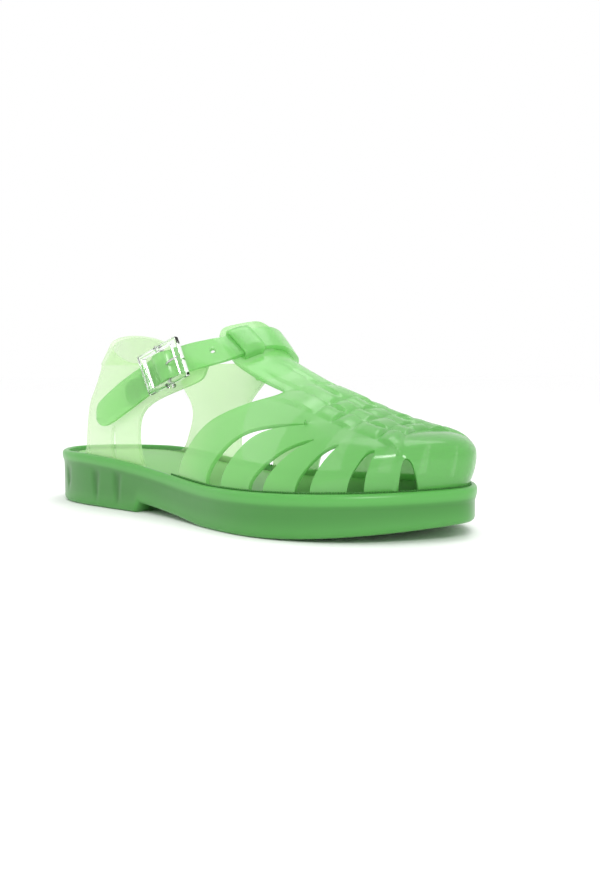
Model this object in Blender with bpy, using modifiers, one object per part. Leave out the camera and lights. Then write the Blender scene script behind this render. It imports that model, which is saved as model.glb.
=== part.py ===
"""Right jelly sandal: a moulded sole with a tray, a footbed, a one-piece open upper with a woven
vamp, and a clear buckle with a metal prong. Metres, +Z up, toe towards +X, inner side towards +Y."""

import math

import bmesh
import bpy
import numpy as np
from mathutils import Matrix, Vector

# Sole
SOLE_LENGTH = 0.262
BALL_WIDTH = 0.0975
TOE_TIP_OFFSET = 0.006
HEEL_HEIGHT = 0.0278
FOREFOOT_HEIGHT = 0.0193
TOE_LIFT = 0.0024
TOE_SPRING = 0.0065
HEEL_BLOCK_LENGTH = 0.091
BREAST_SLANT = 0.004
ARCH_HEIGHT = 0.005
ARCH_END = 0.150
LIP_HEIGHT = 0.0055
LIP_PROUD = 0.0006
RIM_WIDTH = 0.0032
TRAY_DEPTH = 0.0060
FOOTBED_DROP = 0.0020
FOOTBED_CLEARANCE = 0.0016
EDGE_ROUND = 0.0006
TREAD_ROUND = 0.0020

# Upper
WALL = 0.0020
GAP = 0.0003
BAND_DROP = 0.0024
SIDE_BULGE = 0.0008
TOE_BULGE = 0.0052
INSTEP_HEIGHT = 0.0665
COUNTER_HEIGHT = 0.0745
COUNTER_WIDTH = 0.0524
COUNTER_FLARE = 0.0030
TAB_TAPER = 0.17
PEAK_TUCK = 0.0052
PEAK_REACH = 0.078
PEAK_RISE = 0.026
HEEL_PEAK_HEIGHT = 0.0910
TAB_REACH = 0.138
BAND_BACK = 0.0450
BAND_LEAN = 0.009
BAND_ARCH = 0.001
PEAK_ARCH = 0.0075
FOLD_LIFT = 0.0085
STRAP_WIDTH = 0.0128
STRAP_THICKNESS = 0.0022
TBAR_WIDTH = 0.0340
TBAR_CROWN = 0.0022
TBAR_SAG = 0.0015
WEAVE_RELIEF = 0.0019
KEEPER_WIDTH = 0.0110
KEEPER_CLEARANCE = 0.0005

# Buckle
BUCKLE_LENGTH = 0.0260
BUCKLE_WIDTH = 0.0200
BUCKLE_THICKNESS = 0.0030
BUCKLE_SIDE_BAR = 0.0025
BAR_CLEARANCE = 0.0008
BUCKLE_END_BAR = 0.0040
PIN_RADIUS = 0.0009
PIN_DEPTH = -0.0006
PIN_LIFT = 0.0033
LIFT_FLAT = 0.0010
LIFT_RAMP = 0.0042
LUG_HALF = 0.0016
PRONG_BEND = 0.0010
PRONG_RADIUS = 0.0006
PRONG_SLOPE = 30.0
HOLE_RADIUS = 0.0011
LOOP_WALL = 0.0010
ANCHOR_THICKNESS = 0.0015
ANCHOR_HALF_WIDTH = 0.0052
STUD_RADIUS = 0.0065
STUD_HEIGHT = 0.0010
SHANK_RADIUS = 0.0018
STUD_ROW = 3.25

# Outline of the sole. Columns: share of the length from the heel, half width on the outer side,
# half width on the inner side, both as shares of the ball width.
OUTLINE = (
    (0.040, 0.197, 0.197),
    (0.100, 0.300, 0.300),
    (0.180, 0.342, 0.342),
    (0.300, 0.352, 0.331),
    (0.420, 0.373, 0.311),
    (0.550, 0.445, 0.373),
    (0.660, 0.508, 0.456),
    (0.760, 0.508, 0.492),
    (0.860, 0.420, 0.466),
    (0.930, 0.280, 0.373),
    (0.975, 0.124, 0.228),
)

# Top of the last along its ridge. Columns: share of the length, height as a share of the instep
# height, sideways place as a share of the ball width, fullness of the cross-section.
RIDGE = (
    (0.500, 1.110, 0.070, 1.80),
    (0.680, 0.988, 0.070, 1.80),
    (0.740, 0.900, 0.065, 2.00),
    (0.800, 0.800, 0.060, 2.20),
    (0.860, 0.722, 0.055, 2.45),
    (0.910, 0.668, 0.052, 2.75),
)

# Gaps between the straps of the vamp. Columns: back and front of the gap at the sole, place of its
# top, place of its line on the ridge (shares of the length), angle of its top round the last in
# degrees, how late the gap sweeps forward, and its width at the top as a share of the length.
GAPS = (
    (0.588, 0.636, 0.778, 0.760, 50.0, 3.3, 0.006),
    (0.708, 0.740, 0.808, 0.800, 40.0, 2.3, 0.007),
    (0.798, 0.823, 0.848, 0.840, 40.0, 2.0, 0.008),
    (0.875, 0.897, 0.897, 0.880, 40.0, 1.7, 0.008),
    (0.935, 0.955, 0.938, 0.908, 30.0, 1.3, 0.009),
)
BELOW_RIM = -1.0
THROAT = (0.490, 0.490, 0.683, 0.700, 62.0, 2.3, 0.0)
RING_ANGLES = (BELOW_RIM, 0.0, 10.0, 30.0, 40.0, 50.0, 56.0, 67.0, 78.0, 90.0)
FIRST_WOVEN_ROW = 6
TBAR_FIRST_ROW = 7

# Heel legs. Columns: height as a share of counter height, then the back and front edge of the outer
# leg and of the inner leg as shares of tab reach.
LEG = (
    (0.470, 0.336, 0.664, 0.465, 0.775),
    (0.577, 0.336, 0.660, 0.498, 0.785),
    (0.671, 0.340, 0.674, 0.503, 0.808),
    (0.752, 0.348, 0.733, 0.485, 0.845),
    (0.819, 0.372, 0.840, 0.450, 0.890),
    (0.886, 0.422, 0.955, 0.422, 0.945),
)
LEG_TOP_SHARES = (1 / 3, 2 / 3, 1.0)
LEG_COLUMNS = (0.0, 0.25, 0.49, 0.56, 0.78, 1.0)
LEG_SLOT_COLUMN = 2
LEG_SLOT_ROWS = 2
LEG_BASE = (0.338, 0.690, 0.430, 0.780)

# Ankle strap, from its free end round the buckle and the instep to the inner tab. Columns: place of
# the centre line along the foot, sideways and up, as shares of tab reach, counter width and counter
# height, then the strap's lean from upright in degrees and its width as a share of the strap width.
STRAP = (
    (0.4443, -0.6075, 0.6190, 4.0, 0.50),
    (0.4670, -0.6150, 0.6436, 3.0, 0.95),
    (0.5316, -0.6250, 0.6998, 1.0, 1.12),
    (0.6265, -0.6290, 0.7878, 0.0, 1.16),
    (0.7252, -0.6140, 0.8792, 0.0, 1.10),
    (0.8259, -0.5790, 0.9741, 0.0, 1.05),
    (0.9265, -0.5275, 1.0304, 8.0, 1.00),
    (0.9948, -0.4350, 1.0621, 24.0, 1.00),
    (1.0309, -0.2800, 1.0937, 44.0, 1.03),
    (1.0489, -0.0500, 1.1430, 50.0, 1.05),
    (1.0613, 0.2400, 1.1605, 46.0, 1.10),
    (1.0423, 0.4650, 1.1008, 36.0, 1.20),
    (0.9778, 0.5600, 1.0163, 16.0, 1.15),
    (0.8543, 0.4900, 0.9425, 4.0, 0.80),
)
PIN_ROW = 5
SPARE_HOLE_PLACE = 0.548
KEEPER_PLACE = 8.70 / 13
TBAR_PLACE = 9.25 / 13
TBAR_ROWS = 4

# Rows of the T-bar's flap behind the ankle strap. Columns: place across the strap in half widths of
# the keeper, how far behind the strap, share of the T-bar's width.
FLAP = (
    (-0.95, 1.0, 1.00),
    (-0.35, 1.0, 1.00),
    (0.45, 1.0, 1.00),
    (1.10, 1.0, 0.96),
    (1.50, 0.9, 0.84),
    (1.80, 0.8, 0.56),
)

OUTLINE_SAMPLES = 720


def closed_spline(points, count):
    """A smooth closed curve through the points, as count points evenly spaced by length."""
    points = np.asarray(points, float)
    steps = np.linalg.norm(np.roll(points, -1, 0) - points, axis=1)
    knots = np.concatenate([[0.0], np.cumsum(steps)])
    size = len(points)
    system = np.zeros((size, size))
    right = np.zeros_like(points)
    for i in range(size):
        before = steps[i - 1]
        after = steps[i]
        system[i, i - 1] = before
        system[i, i] = 2 * (before + after)
        system[i, (i + 1) % size] = after
        slope_after = (points[(i + 1) % size] - points[i]) / after
        slope_before = (points[i] - points[i - 1]) / before
        right[i] = 6 * (slope_after - slope_before)
    bend = np.linalg.solve(system, right)
    dense = np.linspace(0, knots[-1], count * 4, endpoint=False)
    span = np.clip(np.searchsorted(knots, dense, side="right") - 1, 0, size - 1)
    width = steps[span][:, None]
    u = ((dense - knots[span])[:, None]) / width
    start = points[span]
    end = points[(span + 1) % size]
    bend_start = bend[span]
    bend_end = bend[(span + 1) % size]
    curve = start * (1 - u) + end * u
    curve += width**2 / 6 * (((1 - u) ** 3 - (1 - u)) * bend_start + (u**3 - u) * bend_end)
    lengths = np.linalg.norm(np.roll(curve, -1, 0) - curve, axis=1)
    travelled = np.concatenate([[0.0], np.cumsum(lengths)])
    wanted = np.linspace(0, travelled[-1], count, endpoint=False)
    loop = np.vstack([curve, curve[:1]])
    return np.stack([np.interp(wanted, travelled, loop[:, k]) for k in (0, 1)], axis=1)


def outline_points():
    """Control points of the sole's outline: heel, outer side, toe tip, inner side."""
    outer = [(a * SOLE_LENGTH, -o * BALL_WIDTH) for a, o, i in OUTLINE]
    inner = [(a * SOLE_LENGTH, i * BALL_WIDTH) for a, o, i in reversed(OUTLINE)]
    return [(0.0, 0.0)] + outer + [(SOLE_LENGTH, TOE_TIP_OFFSET)] + inner


EDGE = closed_spline(outline_points(), OUTLINE_SAMPLES)
ALONG = np.roll(EDGE, -1, 0) - np.roll(EDGE, 1, 0)
ALONG /= np.linalg.norm(ALONG, axis=1)[:, None]
INWARD = np.stack([-ALONG[:, 1], ALONG[:, 0]], axis=1)
TOE_INDEX = int(EDGE[:, 0].argmax())


def on_loop(table, place):
    """A row of a closed table at a fractional index."""
    low = int(math.floor(place)) % OUTLINE_SAMPLES
    share = place - math.floor(place)
    return table[low] * (1 - share) + table[(low + 1) % OUTLINE_SAMPLES] * share


def rim_point(place, inset):
    """The point of the outline moved inwards, as x and y."""
    return on_loop(EDGE, place) + on_loop(INWARD, place) * inset


def place_at(side, x, inset):
    """Index on the outline where the inset outline reaches x. side is -1 outer, +1 inner."""
    curve = EDGE + INWARD * inset
    if side < 0:
        index = np.arange(0, TOE_INDEX + 1)
        return float(np.interp(x, curve[index, 0], index))
    index = np.arange(OUTLINE_SAMPLES, TOE_INDEX - 1, -1)
    return float(np.interp(x, curve[index % OUTLINE_SAMPLES, 0], index))


def smooth(share):
    """Smooth step from 0 to 1."""
    share = min(max(share, 0.0), 1.0)
    return share * share * (3 - 2 * share)


def rim_height(x):
    """Height of the sole's rim above the ground."""
    along = x / SOLE_LENGTH
    fall = (HEEL_HEIGHT - FOREFOOT_HEIGHT) * smooth((along - 0.15) / 0.47)
    rise = TOE_LIFT * max(0.0, (along - 0.62) / 0.38) ** 2
    return HEEL_HEIGHT - fall + rise


def ground_clearance(x):
    """Height of the sole's underside: heel block, breast, arch, flat tread and toe spring."""
    if x <= HEEL_BLOCK_LENGTH:
        return 0.0
    if x < ARCH_END:
        step = min(1.0, (x - HEEL_BLOCK_LENGTH) / BREAST_SLANT)
        fade = (ARCH_END - x) / (ARCH_END - HEEL_BLOCK_LENGTH)
        return ARCH_HEIGHT * step * min(1.0, 1.1 * fade)
    spring = max(0.0, (x / SOLE_LENGTH - 0.70) / 0.30)
    return TOE_SPRING * spring**1.8


def new_object(name, bm, collection):
    mesh = bpy.data.meshes.new(name)
    bm.to_mesh(mesh)
    bm.free()
    obj = bpy.data.objects.new(name, mesh)
    collection.objects.link(obj)
    return obj


def sole_stations():
    """Places of the loft's rungs along the length, closer together at both ends."""
    count = 33
    spread = [0.5 - 0.5 * math.cos(math.pi * k / count) for k in range(1, count)]
    rungs = [share * SOLE_LENGTH for share in spread]
    breast = (HEEL_BLOCK_LENGTH, HEEL_BLOCK_LENGTH + BREAST_SLANT)
    rungs = [x for x in rungs if min(abs(x - b) for b in breast) > BREAST_SLANT / 2]
    return sorted(rungs + list(breast))


def loft_slab(bm, rings):
    """A solid between rings that follow the outline. A ring is an inset and a height function."""
    rungs = sole_stations()
    outer = [place_at(-1, x, 0.0) for x in rungs]
    inner = [place_at(1, x, 0.0) for x in reversed(rungs)]
    places = [0.0] + outer + [float(TOE_INDEX)] + inner
    loops = []
    for inset, height in rings:
        points = [rim_point(place, inset) for place in places]
        edge_x = [rim_point(place, 0.0)[0] for place in places]
        loops.append([bm.verts.new((p[0], p[1], height(x))) for p, x in zip(points, edge_x)])
    size = len(places)
    for low, high in zip(loops, loops[1:]):
        for i in range(size):
            j = (i + 1) % size
            bm.faces.new((low[i], low[j], high[j], high[i]))
    for loop in (loops[0], loops[-1]):
        close_with_rungs(bm, loop, len(rungs))
    bmesh.ops.recalc_face_normals(bm, faces=bm.faces)


def close_with_rungs(bm, loop, rungs):
    """Close a ring with strips across the foot: ring order is heel, outer, toe, inner."""
    size = len(loop)
    for k in range(rungs + 1):
        left = loop[k]
        left_next = loop[k + 1]
        right = loop[(size - k) % size]
        right_next = loop[size - k - 1]
        corners = []
        for vert in (left, left_next, right_next, right):
            if vert not in corners:
                corners.append(vert)
        bm.faces.new(corners)


def build_outsole(collection):
    """One moulded block: tread, side, proud lip, flat rim and the tray that holds the upper."""
    recess = LIP_PROUD + EDGE_ROUND / 2
    rings = (
        (recess + TREAD_ROUND, lambda x: ground_clearance(x)),
        (recess + 0.2 * TREAD_ROUND, lambda x: ground_clearance(x) + 0.8 * TREAD_ROUND),
        (recess, lambda x: ground_clearance(x) + 2 * TREAD_ROUND),
        (recess, lambda x: rim_height(x) - LIP_HEIGHT - 2 * EDGE_ROUND),
        (EDGE_ROUND / 2, lambda x: rim_height(x) - LIP_HEIGHT),
        (0.0, lambda x: rim_height(x) - LIP_HEIGHT + 2 * EDGE_ROUND),
        (0.0, lambda x: rim_height(x) - 3 * EDGE_ROUND),
        (EDGE_ROUND, lambda x: rim_height(x) - EDGE_ROUND / 2),
        (2.5 * EDGE_ROUND, lambda x: rim_height(x)),
        (RIM_WIDTH - EDGE_ROUND, lambda x: rim_height(x)),
        (RIM_WIDTH, lambda x: rim_height(x) - EDGE_ROUND),
        (RIM_WIDTH, lambda x: rim_height(x) - TRAY_DEPTH),
    )
    bm = bmesh.new()
    loft_slab(bm, rings)
    return new_object("outsole", bm, collection)


def build_insole(collection):
    """The footbed: a slab that lies in the tray inside the foot of the upper's wall."""
    inset = RIM_WIDTH + GAP + WALL + FOOTBED_CLEARANCE
    rings = (
        (inset, lambda x: rim_height(x) - TRAY_DEPTH + GAP),
        (inset, lambda x: rim_height(x) - FOOTBED_DROP - 2 * EDGE_ROUND),
        (inset + EDGE_ROUND, lambda x: rim_height(x) - FOOTBED_DROP),
    )
    bm = bmesh.new()
    loft_slab(bm, rings)
    return new_object("insole", bm, collection)


UPPER_INSET = RIM_WIDTH + GAP
POLE_X = RIDGE[-1][0] * SOLE_LENGTH


def foot_height(x):
    """Height where the straps leave the low band that runs round inside the tray."""
    return rim_height(x) - BAND_DROP


def ridge_value(x, column):
    table = np.asarray(RIDGE)
    return float(np.interp(x / SOLE_LENGTH, table[:, 0], table[:, column]))


def rise(angle, fullness):
    return math.sin(math.radians(max(0.0, angle))) ** (2 / fullness)


def last_point(place, angle):
    """The last's surface. place runs round the outline; angle runs from the sole up to the ridge."""
    base = rim_point(place, UPPER_INSET)
    anchor_x = min(base[0], POLE_X)
    anchor = np.array([anchor_x, ridge_value(anchor_x, 2) * BALL_WIDTH])
    fullness = ridge_value(base[0], 3)
    if angle == BELOW_RIM:
        return Vector((base[0], base[1], foot_height(base[0])))
    share = max(0.0, math.cos(math.radians(angle))) ** (2 / fullness)
    toe_share = smooth((base[0] / SOLE_LENGTH - 0.80) / 0.15)
    bulge = (SIDE_BULGE + TOE_BULGE * toe_share) * math.sin(math.radians(2 * angle)) ** 0.6
    plan = anchor + (base - anchor) * share - on_loop(INWARD, place) * bulge
    low = rim_height(base[0])
    high = ridge_value(anchor_x, 1) * INSTEP_HEIGHT
    return Vector((plan[0], plan[1], low + (high - low) * rise(angle, fullness)))


def line_along(row, angle, front):
    """Where a line between two straps lies along the sole, at an angle round the last."""
    back_x, front_x, top_x, ridge_x, top_angle, sweep, top_width = row
    start = front_x if front else back_x
    if angle > top_angle:
        return top_x + (ridge_x - top_x) * (angle - top_angle) / (90 - top_angle)
    top_x += top_width / 2 if front else -top_width / 2
    fullness = ridge_value(top_x * SOLE_LENGTH, 3)
    share = (rise(angle, fullness) / rise(top_angle, fullness)) ** sweep
    return start + (top_x - start) * share


def vamp_lines(side, angle):
    """Places of all the vamp's lines on one side, from the throat to the toe cap."""
    edges = [line_along(THROAT, angle, False)]
    for row in GAPS:
        edges.append(line_along(row, angle, False))
        edges.append(line_along(row, angle, True))
    lines = []
    for k in range(0, len(edges) - 1, 2):
        lines += [edges[k], (edges[k] + edges[k + 1]) / 2, edges[k + 1]]
    lines.append(edges[-1])
    return [place_at(side, x * SOLE_LENGTH, UPPER_INSET) for x in lines]


TOE_CAP_CELLS = 8
SIDE_LINES = 3 * len(GAPS) + 1
VAMP_COLUMNS = 2 * (SIDE_LINES - 1) + TOE_CAP_CELLS


def vamp_place(column, angle):
    """Place on the outline of one of the vamp's lines, from the outer throat round the toe."""
    outer = vamp_lines(-1, angle)
    inner = vamp_lines(1, angle)
    if column < SIDE_LINES:
        return outer[column]
    if column >= SIDE_LINES - 1 + TOE_CAP_CELLS:
        return inner[VAMP_COLUMNS - column]
    share = (column - SIDE_LINES + 1) / TOE_CAP_CELLS
    return outer[-1] + (inner[-1] - outer[-1]) * share


def weave_relief(column, row):
    """How far a crossing of the weave stands proud of the last or sinks below it."""
    from_side = min(column, VAMP_COLUMNS - column)
    if row < FIRST_WOVEN_ROW or from_side > SIDE_LINES - 3 or from_side < 1:
        return 0.0
    strap_middle = from_side % 3 == 1
    odd_row = (row - FIRST_WOVEN_ROW) % 2 == 1
    if row == len(RING_ANGLES) - 1:
        return WEAVE_RELIEF if strap_middle else -WEAVE_RELIEF / 2
    return WEAVE_RELIEF if strap_middle == odd_row else -WEAVE_RELIEF / 2


def vamp_point(column, row):
    """Corner of the vamp's cage."""
    angle = RING_ANGLES[row]
    place = vamp_place(column, angle)
    point = last_point(place, angle)
    relief = weave_relief(column, row)
    if relief:
        base = rim_point(place, UPPER_INSET)
        anchor_x = min(base[0], POLE_X)
        centre = Vector((anchor_x, ridge_value(anchor_x, 2) * BALL_WIDTH, rim_height(base[0])))
        point += (point - centre).normalized() * relief
    return point


def is_gap(column, row):
    """True for a cell of the vamp that is open."""
    from_side = min(column, VAMP_COLUMNS - 1 - column)
    if from_side >= SIDE_LINES - 1 or from_side % 3 != 2:
        return False
    top_angle = GAPS[from_side // 3][4]
    return RING_ANGLES[row + 1] <= top_angle


def counter_top(x):
    """Height of the counter's top line."""
    share = max(0.0, (PEAK_REACH - x) / PEAK_RISE)
    return COUNTER_HEIGHT + (HEEL_PEAK_HEIGHT - COUNTER_HEIGHT) * min(1.0, share) ** 2


LEG_FOLDS = len(LEG)
HEEL_ROWS = LEG_FOLDS + len(LEG_TOP_SHARES)
BACK_CELLS = 10
LEG_CELLS = len(LEG_COLUMNS) - 1
HEEL_COLUMNS = 2 * LEG_CELLS + BACK_CELLS


def leg_edges(side, row):
    """Back and front edge of a heel leg at a row of the heel's cage."""
    columns = slice(0, 2) if side < 0 else slice(2, 4)
    if row == 0:
        back, front = LEG_BASE[columns]
        return back * TAB_REACH, front * TAB_REACH
    back, front = LEG[min(row, LEG_FOLDS) - 1][1:][columns]
    if row > LEG_FOLDS:
        share = LEG_TOP_SHARES[row - LEG_FOLDS - 1]
        back += 0.018 * share
        front = min(1.0, front + 0.03 * share)
    return back * TAB_REACH, front * TAB_REACH


def row_height(row, x):
    if row == 0:
        return foot_height(x)
    low = LEG[min(row, LEG_FOLDS) - 1][0] * COUNTER_HEIGHT
    if row < LEG_FOLDS:
        return low
    low += FOLD_LIFT * (1 - smooth((x / TAB_REACH - 0.40) / 0.22))
    if row == LEG_FOLDS:
        return low
    return low + (counter_top(x) - low) * LEG_TOP_SHARES[row - LEG_FOLDS - 1]


def leg_point(side, row, share):
    """A point of a heel leg: share runs from its back edge to its front edge."""
    back, front = leg_edges(side, row)
    x = back + (front - back) * share
    place = place_at(side, x, UPPER_INSET)
    base = rim_point(place, UPPER_INSET)
    height = row_height(row, x)
    if row == 0:
        return Vector((base[0], base[1], height))
    low = foot_height(x)
    lean = min(1.0, (height - low) / (COUNTER_HEIGHT - low) / 0.85)
    along = x / TAB_REACH
    top_half = COUNTER_WIDTH / 2 + COUNTER_FLARE * smooth((along - 0.399) / 0.290)
    top_half -= TAB_TAPER * max(0.0, along - 0.717) * TAB_REACH
    above = max(0, row - LEG_FOLDS) / len(LEG_TOP_SHARES)
    top_half -= PEAK_TUCK * above * (1 - smooth((along - 0.362) / 0.181))
    y = abs(base[1]) * (1 - lean) + top_half * lean
    return Vector((x, side * y, height))


def back_point(row, turn):
    """A point of the band behind the heel. turn runs from -90 degrees, outer side, to 90."""
    across = math.sin(math.radians(turn))
    behind = math.cos(math.radians(turn))
    side = leg_point(-1, row, 0.0).lerp(leg_point(1, row, 0.0), (across + 1) / 2)
    above = (row - LEG_FOLDS) / len(LEG_TOP_SHARES)
    back = BAND_BACK + BAND_LEAN * above
    height = side.z + (BAND_ARCH + PEAK_ARCH * above) * behind
    return Vector((side.x - (side.x - back) * behind, side.y, height))


def heel_point(column, row):
    """Corner of the heel's cage, from the outer front edge round the back to the inner one."""
    if column <= LEG_CELLS:
        return leg_point(-1, row, LEG_COLUMNS[LEG_CELLS - column])
    if column >= LEG_CELLS + BACK_CELLS:
        return leg_point(1, row, LEG_COLUMNS[column - LEG_CELLS - BACK_CELLS])
    share = (column - LEG_CELLS) / BACK_CELLS
    if row >= LEG_FOLDS:
        return back_point(row, -90 + 180 * share)
    outer = place_at(-1, leg_edges(-1, 0)[0], UPPER_INSET)
    inner = place_at(1, leg_edges(1, 0)[0], UPPER_INSET) - OUTLINE_SAMPLES
    base = rim_point(outer + (inner - outer) * share, UPPER_INSET)
    return Vector((base[0], base[1], foot_height(base[0])))


def heel_open(column, row):
    """True for a cell of the heel that is open: the back and the slot in the outer leg."""
    if LEG_CELLS <= column < LEG_CELLS + BACK_CELLS:
        return row < LEG_FOLDS
    return LEG_CELLS - 1 - column == LEG_SLOT_COLUMN and row < LEG_SLOT_ROWS


def place_patch(bm, columns, rows, corner, is_open=None):
    """A grid of cells whose corners are put in place by a function, with open cells left out."""
    made = bmesh.ops.create_grid(bm, x_segments=columns, y_segments=rows, size=0.5)
    cell_of = {}
    for vert in made["verts"]:
        cell = (round((vert.co.x + 0.5) * columns), round((vert.co.y + 0.5) * rows))
        cell_of[vert] = cell
    faces = list({face for vert in made["verts"] for face in vert.link_faces})
    if is_open:
        closed = []
        for face in faces:
            column = min(cell_of[vert][0] for vert in face.verts)
            row = min(cell_of[vert][1] for vert in face.verts)
            if is_open(column, row):
                closed.append(face)
        bmesh.ops.delete(bm, geom=closed, context="FACES_ONLY")
    for vert, (column, row) in cell_of.items():
        vert.co = corner(column, row)


def base_places():
    """Places on the outline of every line that stands on the low band, once round the foot."""
    heel = []
    for column in range(HEEL_COLUMNS + 1):
        point = heel_point(column, 0)
        side = -1 if column <= LEG_CELLS + BACK_CELLS // 2 else 1
        if LEG_CELLS < column < LEG_CELLS + BACK_CELLS:
            share = (column - LEG_CELLS) / BACK_CELLS
            outer = place_at(-1, leg_edges(-1, 0)[0], UPPER_INSET)
            inner = place_at(1, leg_edges(1, 0)[0], UPPER_INSET) - OUTLINE_SAMPLES
            heel.append(outer + (inner - outer) * share)
        else:
            heel.append(place_at(side, point.x, UPPER_INSET) - (OUTLINE_SAMPLES if side > 0 else 0))
    vamp = [vamp_place(column, BELOW_RIM) for column in range(VAMP_COLUMNS + 1)]
    forward = list(reversed(heel))
    outer_gap = np.linspace(forward[-1], vamp[0], 5)[1:-1]
    inner_gap = np.linspace(vamp[-1], forward[0] + OUTLINE_SAMPLES, 5)[1:-1]
    return forward + list(outer_gap) + vamp + list(inner_gap) + [forward[0] + OUTLINE_SAMPLES]


def band_point(places, column, row):
    base = rim_point(places[column], UPPER_INSET)
    height = foot_height(base[0])
    if row == 0:
        height = rim_height(base[0]) - TRAY_DEPTH + GAP
    return Vector((base[0], base[1], height))


def ribbon_frame(share):
    """Centre, direction along, direction across, outward normal and width of the ankle strap."""
    last = len(STRAP) - 1
    row = min(int(share * last), last - 1)
    table = np.asarray(STRAP)
    u = share * last - row
    before = table[max(row - 1, 0)]
    here = table[row]
    there = table[row + 1]
    after = table[min(row + 2, last)]
    bend = 2 * before - 5 * here + 4 * there - after
    twist = 3 * here - before - 3 * there + after
    blend = 0.5 * (2 * here + (there - before) * u + bend * u**2 + twist * u**3)
    slope = 0.5 * ((there - before) + 2 * bend * u + 3 * twist * u**2)
    sizes = np.array((TAB_REACH, COUNTER_WIDTH, COUNTER_HEIGHT))
    centre = Vector(blend[:3] * sizes)
    along = Vector(slope[:3] * sizes).normalized()
    up = Vector((0, 0, 1))
    side = (up - along * up.dot(along)).normalized()
    normal = along.cross(side).normalized()
    lean = math.radians(blend[3])
    across = (side * math.cos(lean) - normal * math.sin(lean)).normalized()
    facing = (normal * math.cos(lean) + side * math.sin(lean)).normalized()
    return centre, along, across, facing, STRAP_WIDTH * blend[4]


LOOP_HALF_WIDTH = STRAP_WIDTH / 2 + KEEPER_CLEARANCE + WALL / 2
LOOP_HALF_DEPTH = STRAP_THICKNESS / 2 + KEEPER_CLEARANCE + WALL / 2
TBAR_COLUMNS = 2 * (len(RING_ANGLES) - 1 - TBAR_FIRST_ROW)


def strap_run():
    """Length of the ankle strap along its centre line."""
    steps = [ribbon_frame(k / 100)[0] for k in range(101)]
    return sum((b - a).length for a, b in zip(steps, steps[1:]))


STRAP_RUN = strap_run()


def tbar_point(column, row):
    """Corner of the strap that climbs from the vamp, passes under the ankle strap and ends."""
    if column <= TBAR_COLUMNS / 2:
        start = vamp_point(0, TBAR_FIRST_ROW + column)
    else:
        start = vamp_point(VAMP_COLUMNS, TBAR_FIRST_ROW + TBAR_COLUMNS - column)
    if row == 0:
        return start
    depth = LOOP_HALF_DEPTH - WALL / 2
    crown = 1 - (2 * column / TBAR_COLUMNS - 1) ** 2
    place, behind, narrow = FLAP[max(0, row - TBAR_ROWS)]
    spread = (column / TBAR_COLUMNS - 0.5) * TBAR_WIDTH * narrow
    centre, along, across, facing, width = ribbon_frame(TBAR_PLACE + spread / STRAP_RUN)
    end = centre + across * LOOP_HALF_WIDTH * place - facing * depth * behind
    if row >= TBAR_ROWS:
        return end
    share = row / TBAR_ROWS
    bow = TBAR_CROWN * crown * (1 - share) * share * 4 - TBAR_SAG * math.sin(math.pi * share)
    return start.lerp(end, share) + Vector((0, 0, bow))


def build_upper_shell(collection):
    """The upper as one open surface on the last, then given its wall."""
    bm = bmesh.new()
    rows = len(RING_ANGLES) - 1
    place_patch(bm, VAMP_COLUMNS, rows, vamp_point, is_gap)
    place_patch(bm, HEEL_COLUMNS, HEEL_ROWS, heel_point, heel_open)
    places = base_places()
    place_patch(bm, len(places) - 1, 1, lambda column, row: band_point(places, column, row))
    place_patch(bm, TBAR_COLUMNS, TBAR_ROWS + len(FLAP) - 1, tbar_point)
    bmesh.ops.remove_doubles(bm, verts=bm.verts, dist=0.00002)
    loose = [edge for edge in bm.edges if not edge.link_faces]
    bmesh.ops.delete(bm, geom=loose, context="EDGES")
    bmesh.ops.recalc_face_normals(bm, faces=bm.faces)
    bm.faces.ensure_lookup_table()
    toe = max(bm.faces, key=lambda face: face.calc_center_median().x)
    if toe.normal.x < 0:
        bmesh.ops.reverse_faces(bm, faces=bm.faces)
    shell = new_object("upper", bm, collection)
    rounding = shell.modifiers.new("rounded_straps", "SUBSURF")
    rounding.levels = 1
    rounding.render_levels = 1
    wall = shell.modifiers.new("wall", "SOLIDIFY")
    wall.thickness = WALL
    wall.offset = -1
    wall.use_even_offset = True
    return shell


def strap_length(share):
    """Distance along the ankle strap from its centre over the buckle's pin."""
    here = ribbon_frame(share)[0]
    centre, along, across, facing, width = ribbon_frame(PIN_ROW / (len(STRAP) - 1))
    return (here - centre).dot(along)


def strap_lift(share):
    """The strap rises over the buckle's pin and lies flat under the two bars."""
    if not 0.3 < share < 0.55:
        return 0.0
    return PIN_LIFT * smooth(1 - (abs(strap_length(share)) - LIFT_FLAT) / LIFT_RAMP)


def strap_shares():
    """Places of the strap's cross-lines, closer together over the buckle's pin."""
    last = len(STRAP) - 1
    pin = PIN_ROW / last
    near = [pin + 0.031 * k / 4 for k in range(-4, 5)]
    far = [k / 34 for k in range(35)]
    far = [share for share in far if abs(share - pin) > 0.040]
    return sorted(near + far)


def build_strap(cutters):
    """The ankle strap: a flat ribbon from its free end round the instep to the inner tab."""
    bm = bmesh.new()
    shares = strap_shares()

    def corner(column, row):
        centre, along, across, facing, width = ribbon_frame(shares[column])
        half = width / 2 * (row - 1)
        return centre + across * half + facing * strap_lift(shares[column])

    place_patch(bm, len(shares) - 1, 2, corner)
    bmesh.ops.recalc_face_normals(bm, faces=bm.faces)
    strap = new_object("ankle_strap", bm, cutters)
    give_wall(strap, STRAP_THICKNESS, 0)
    return strap


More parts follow.
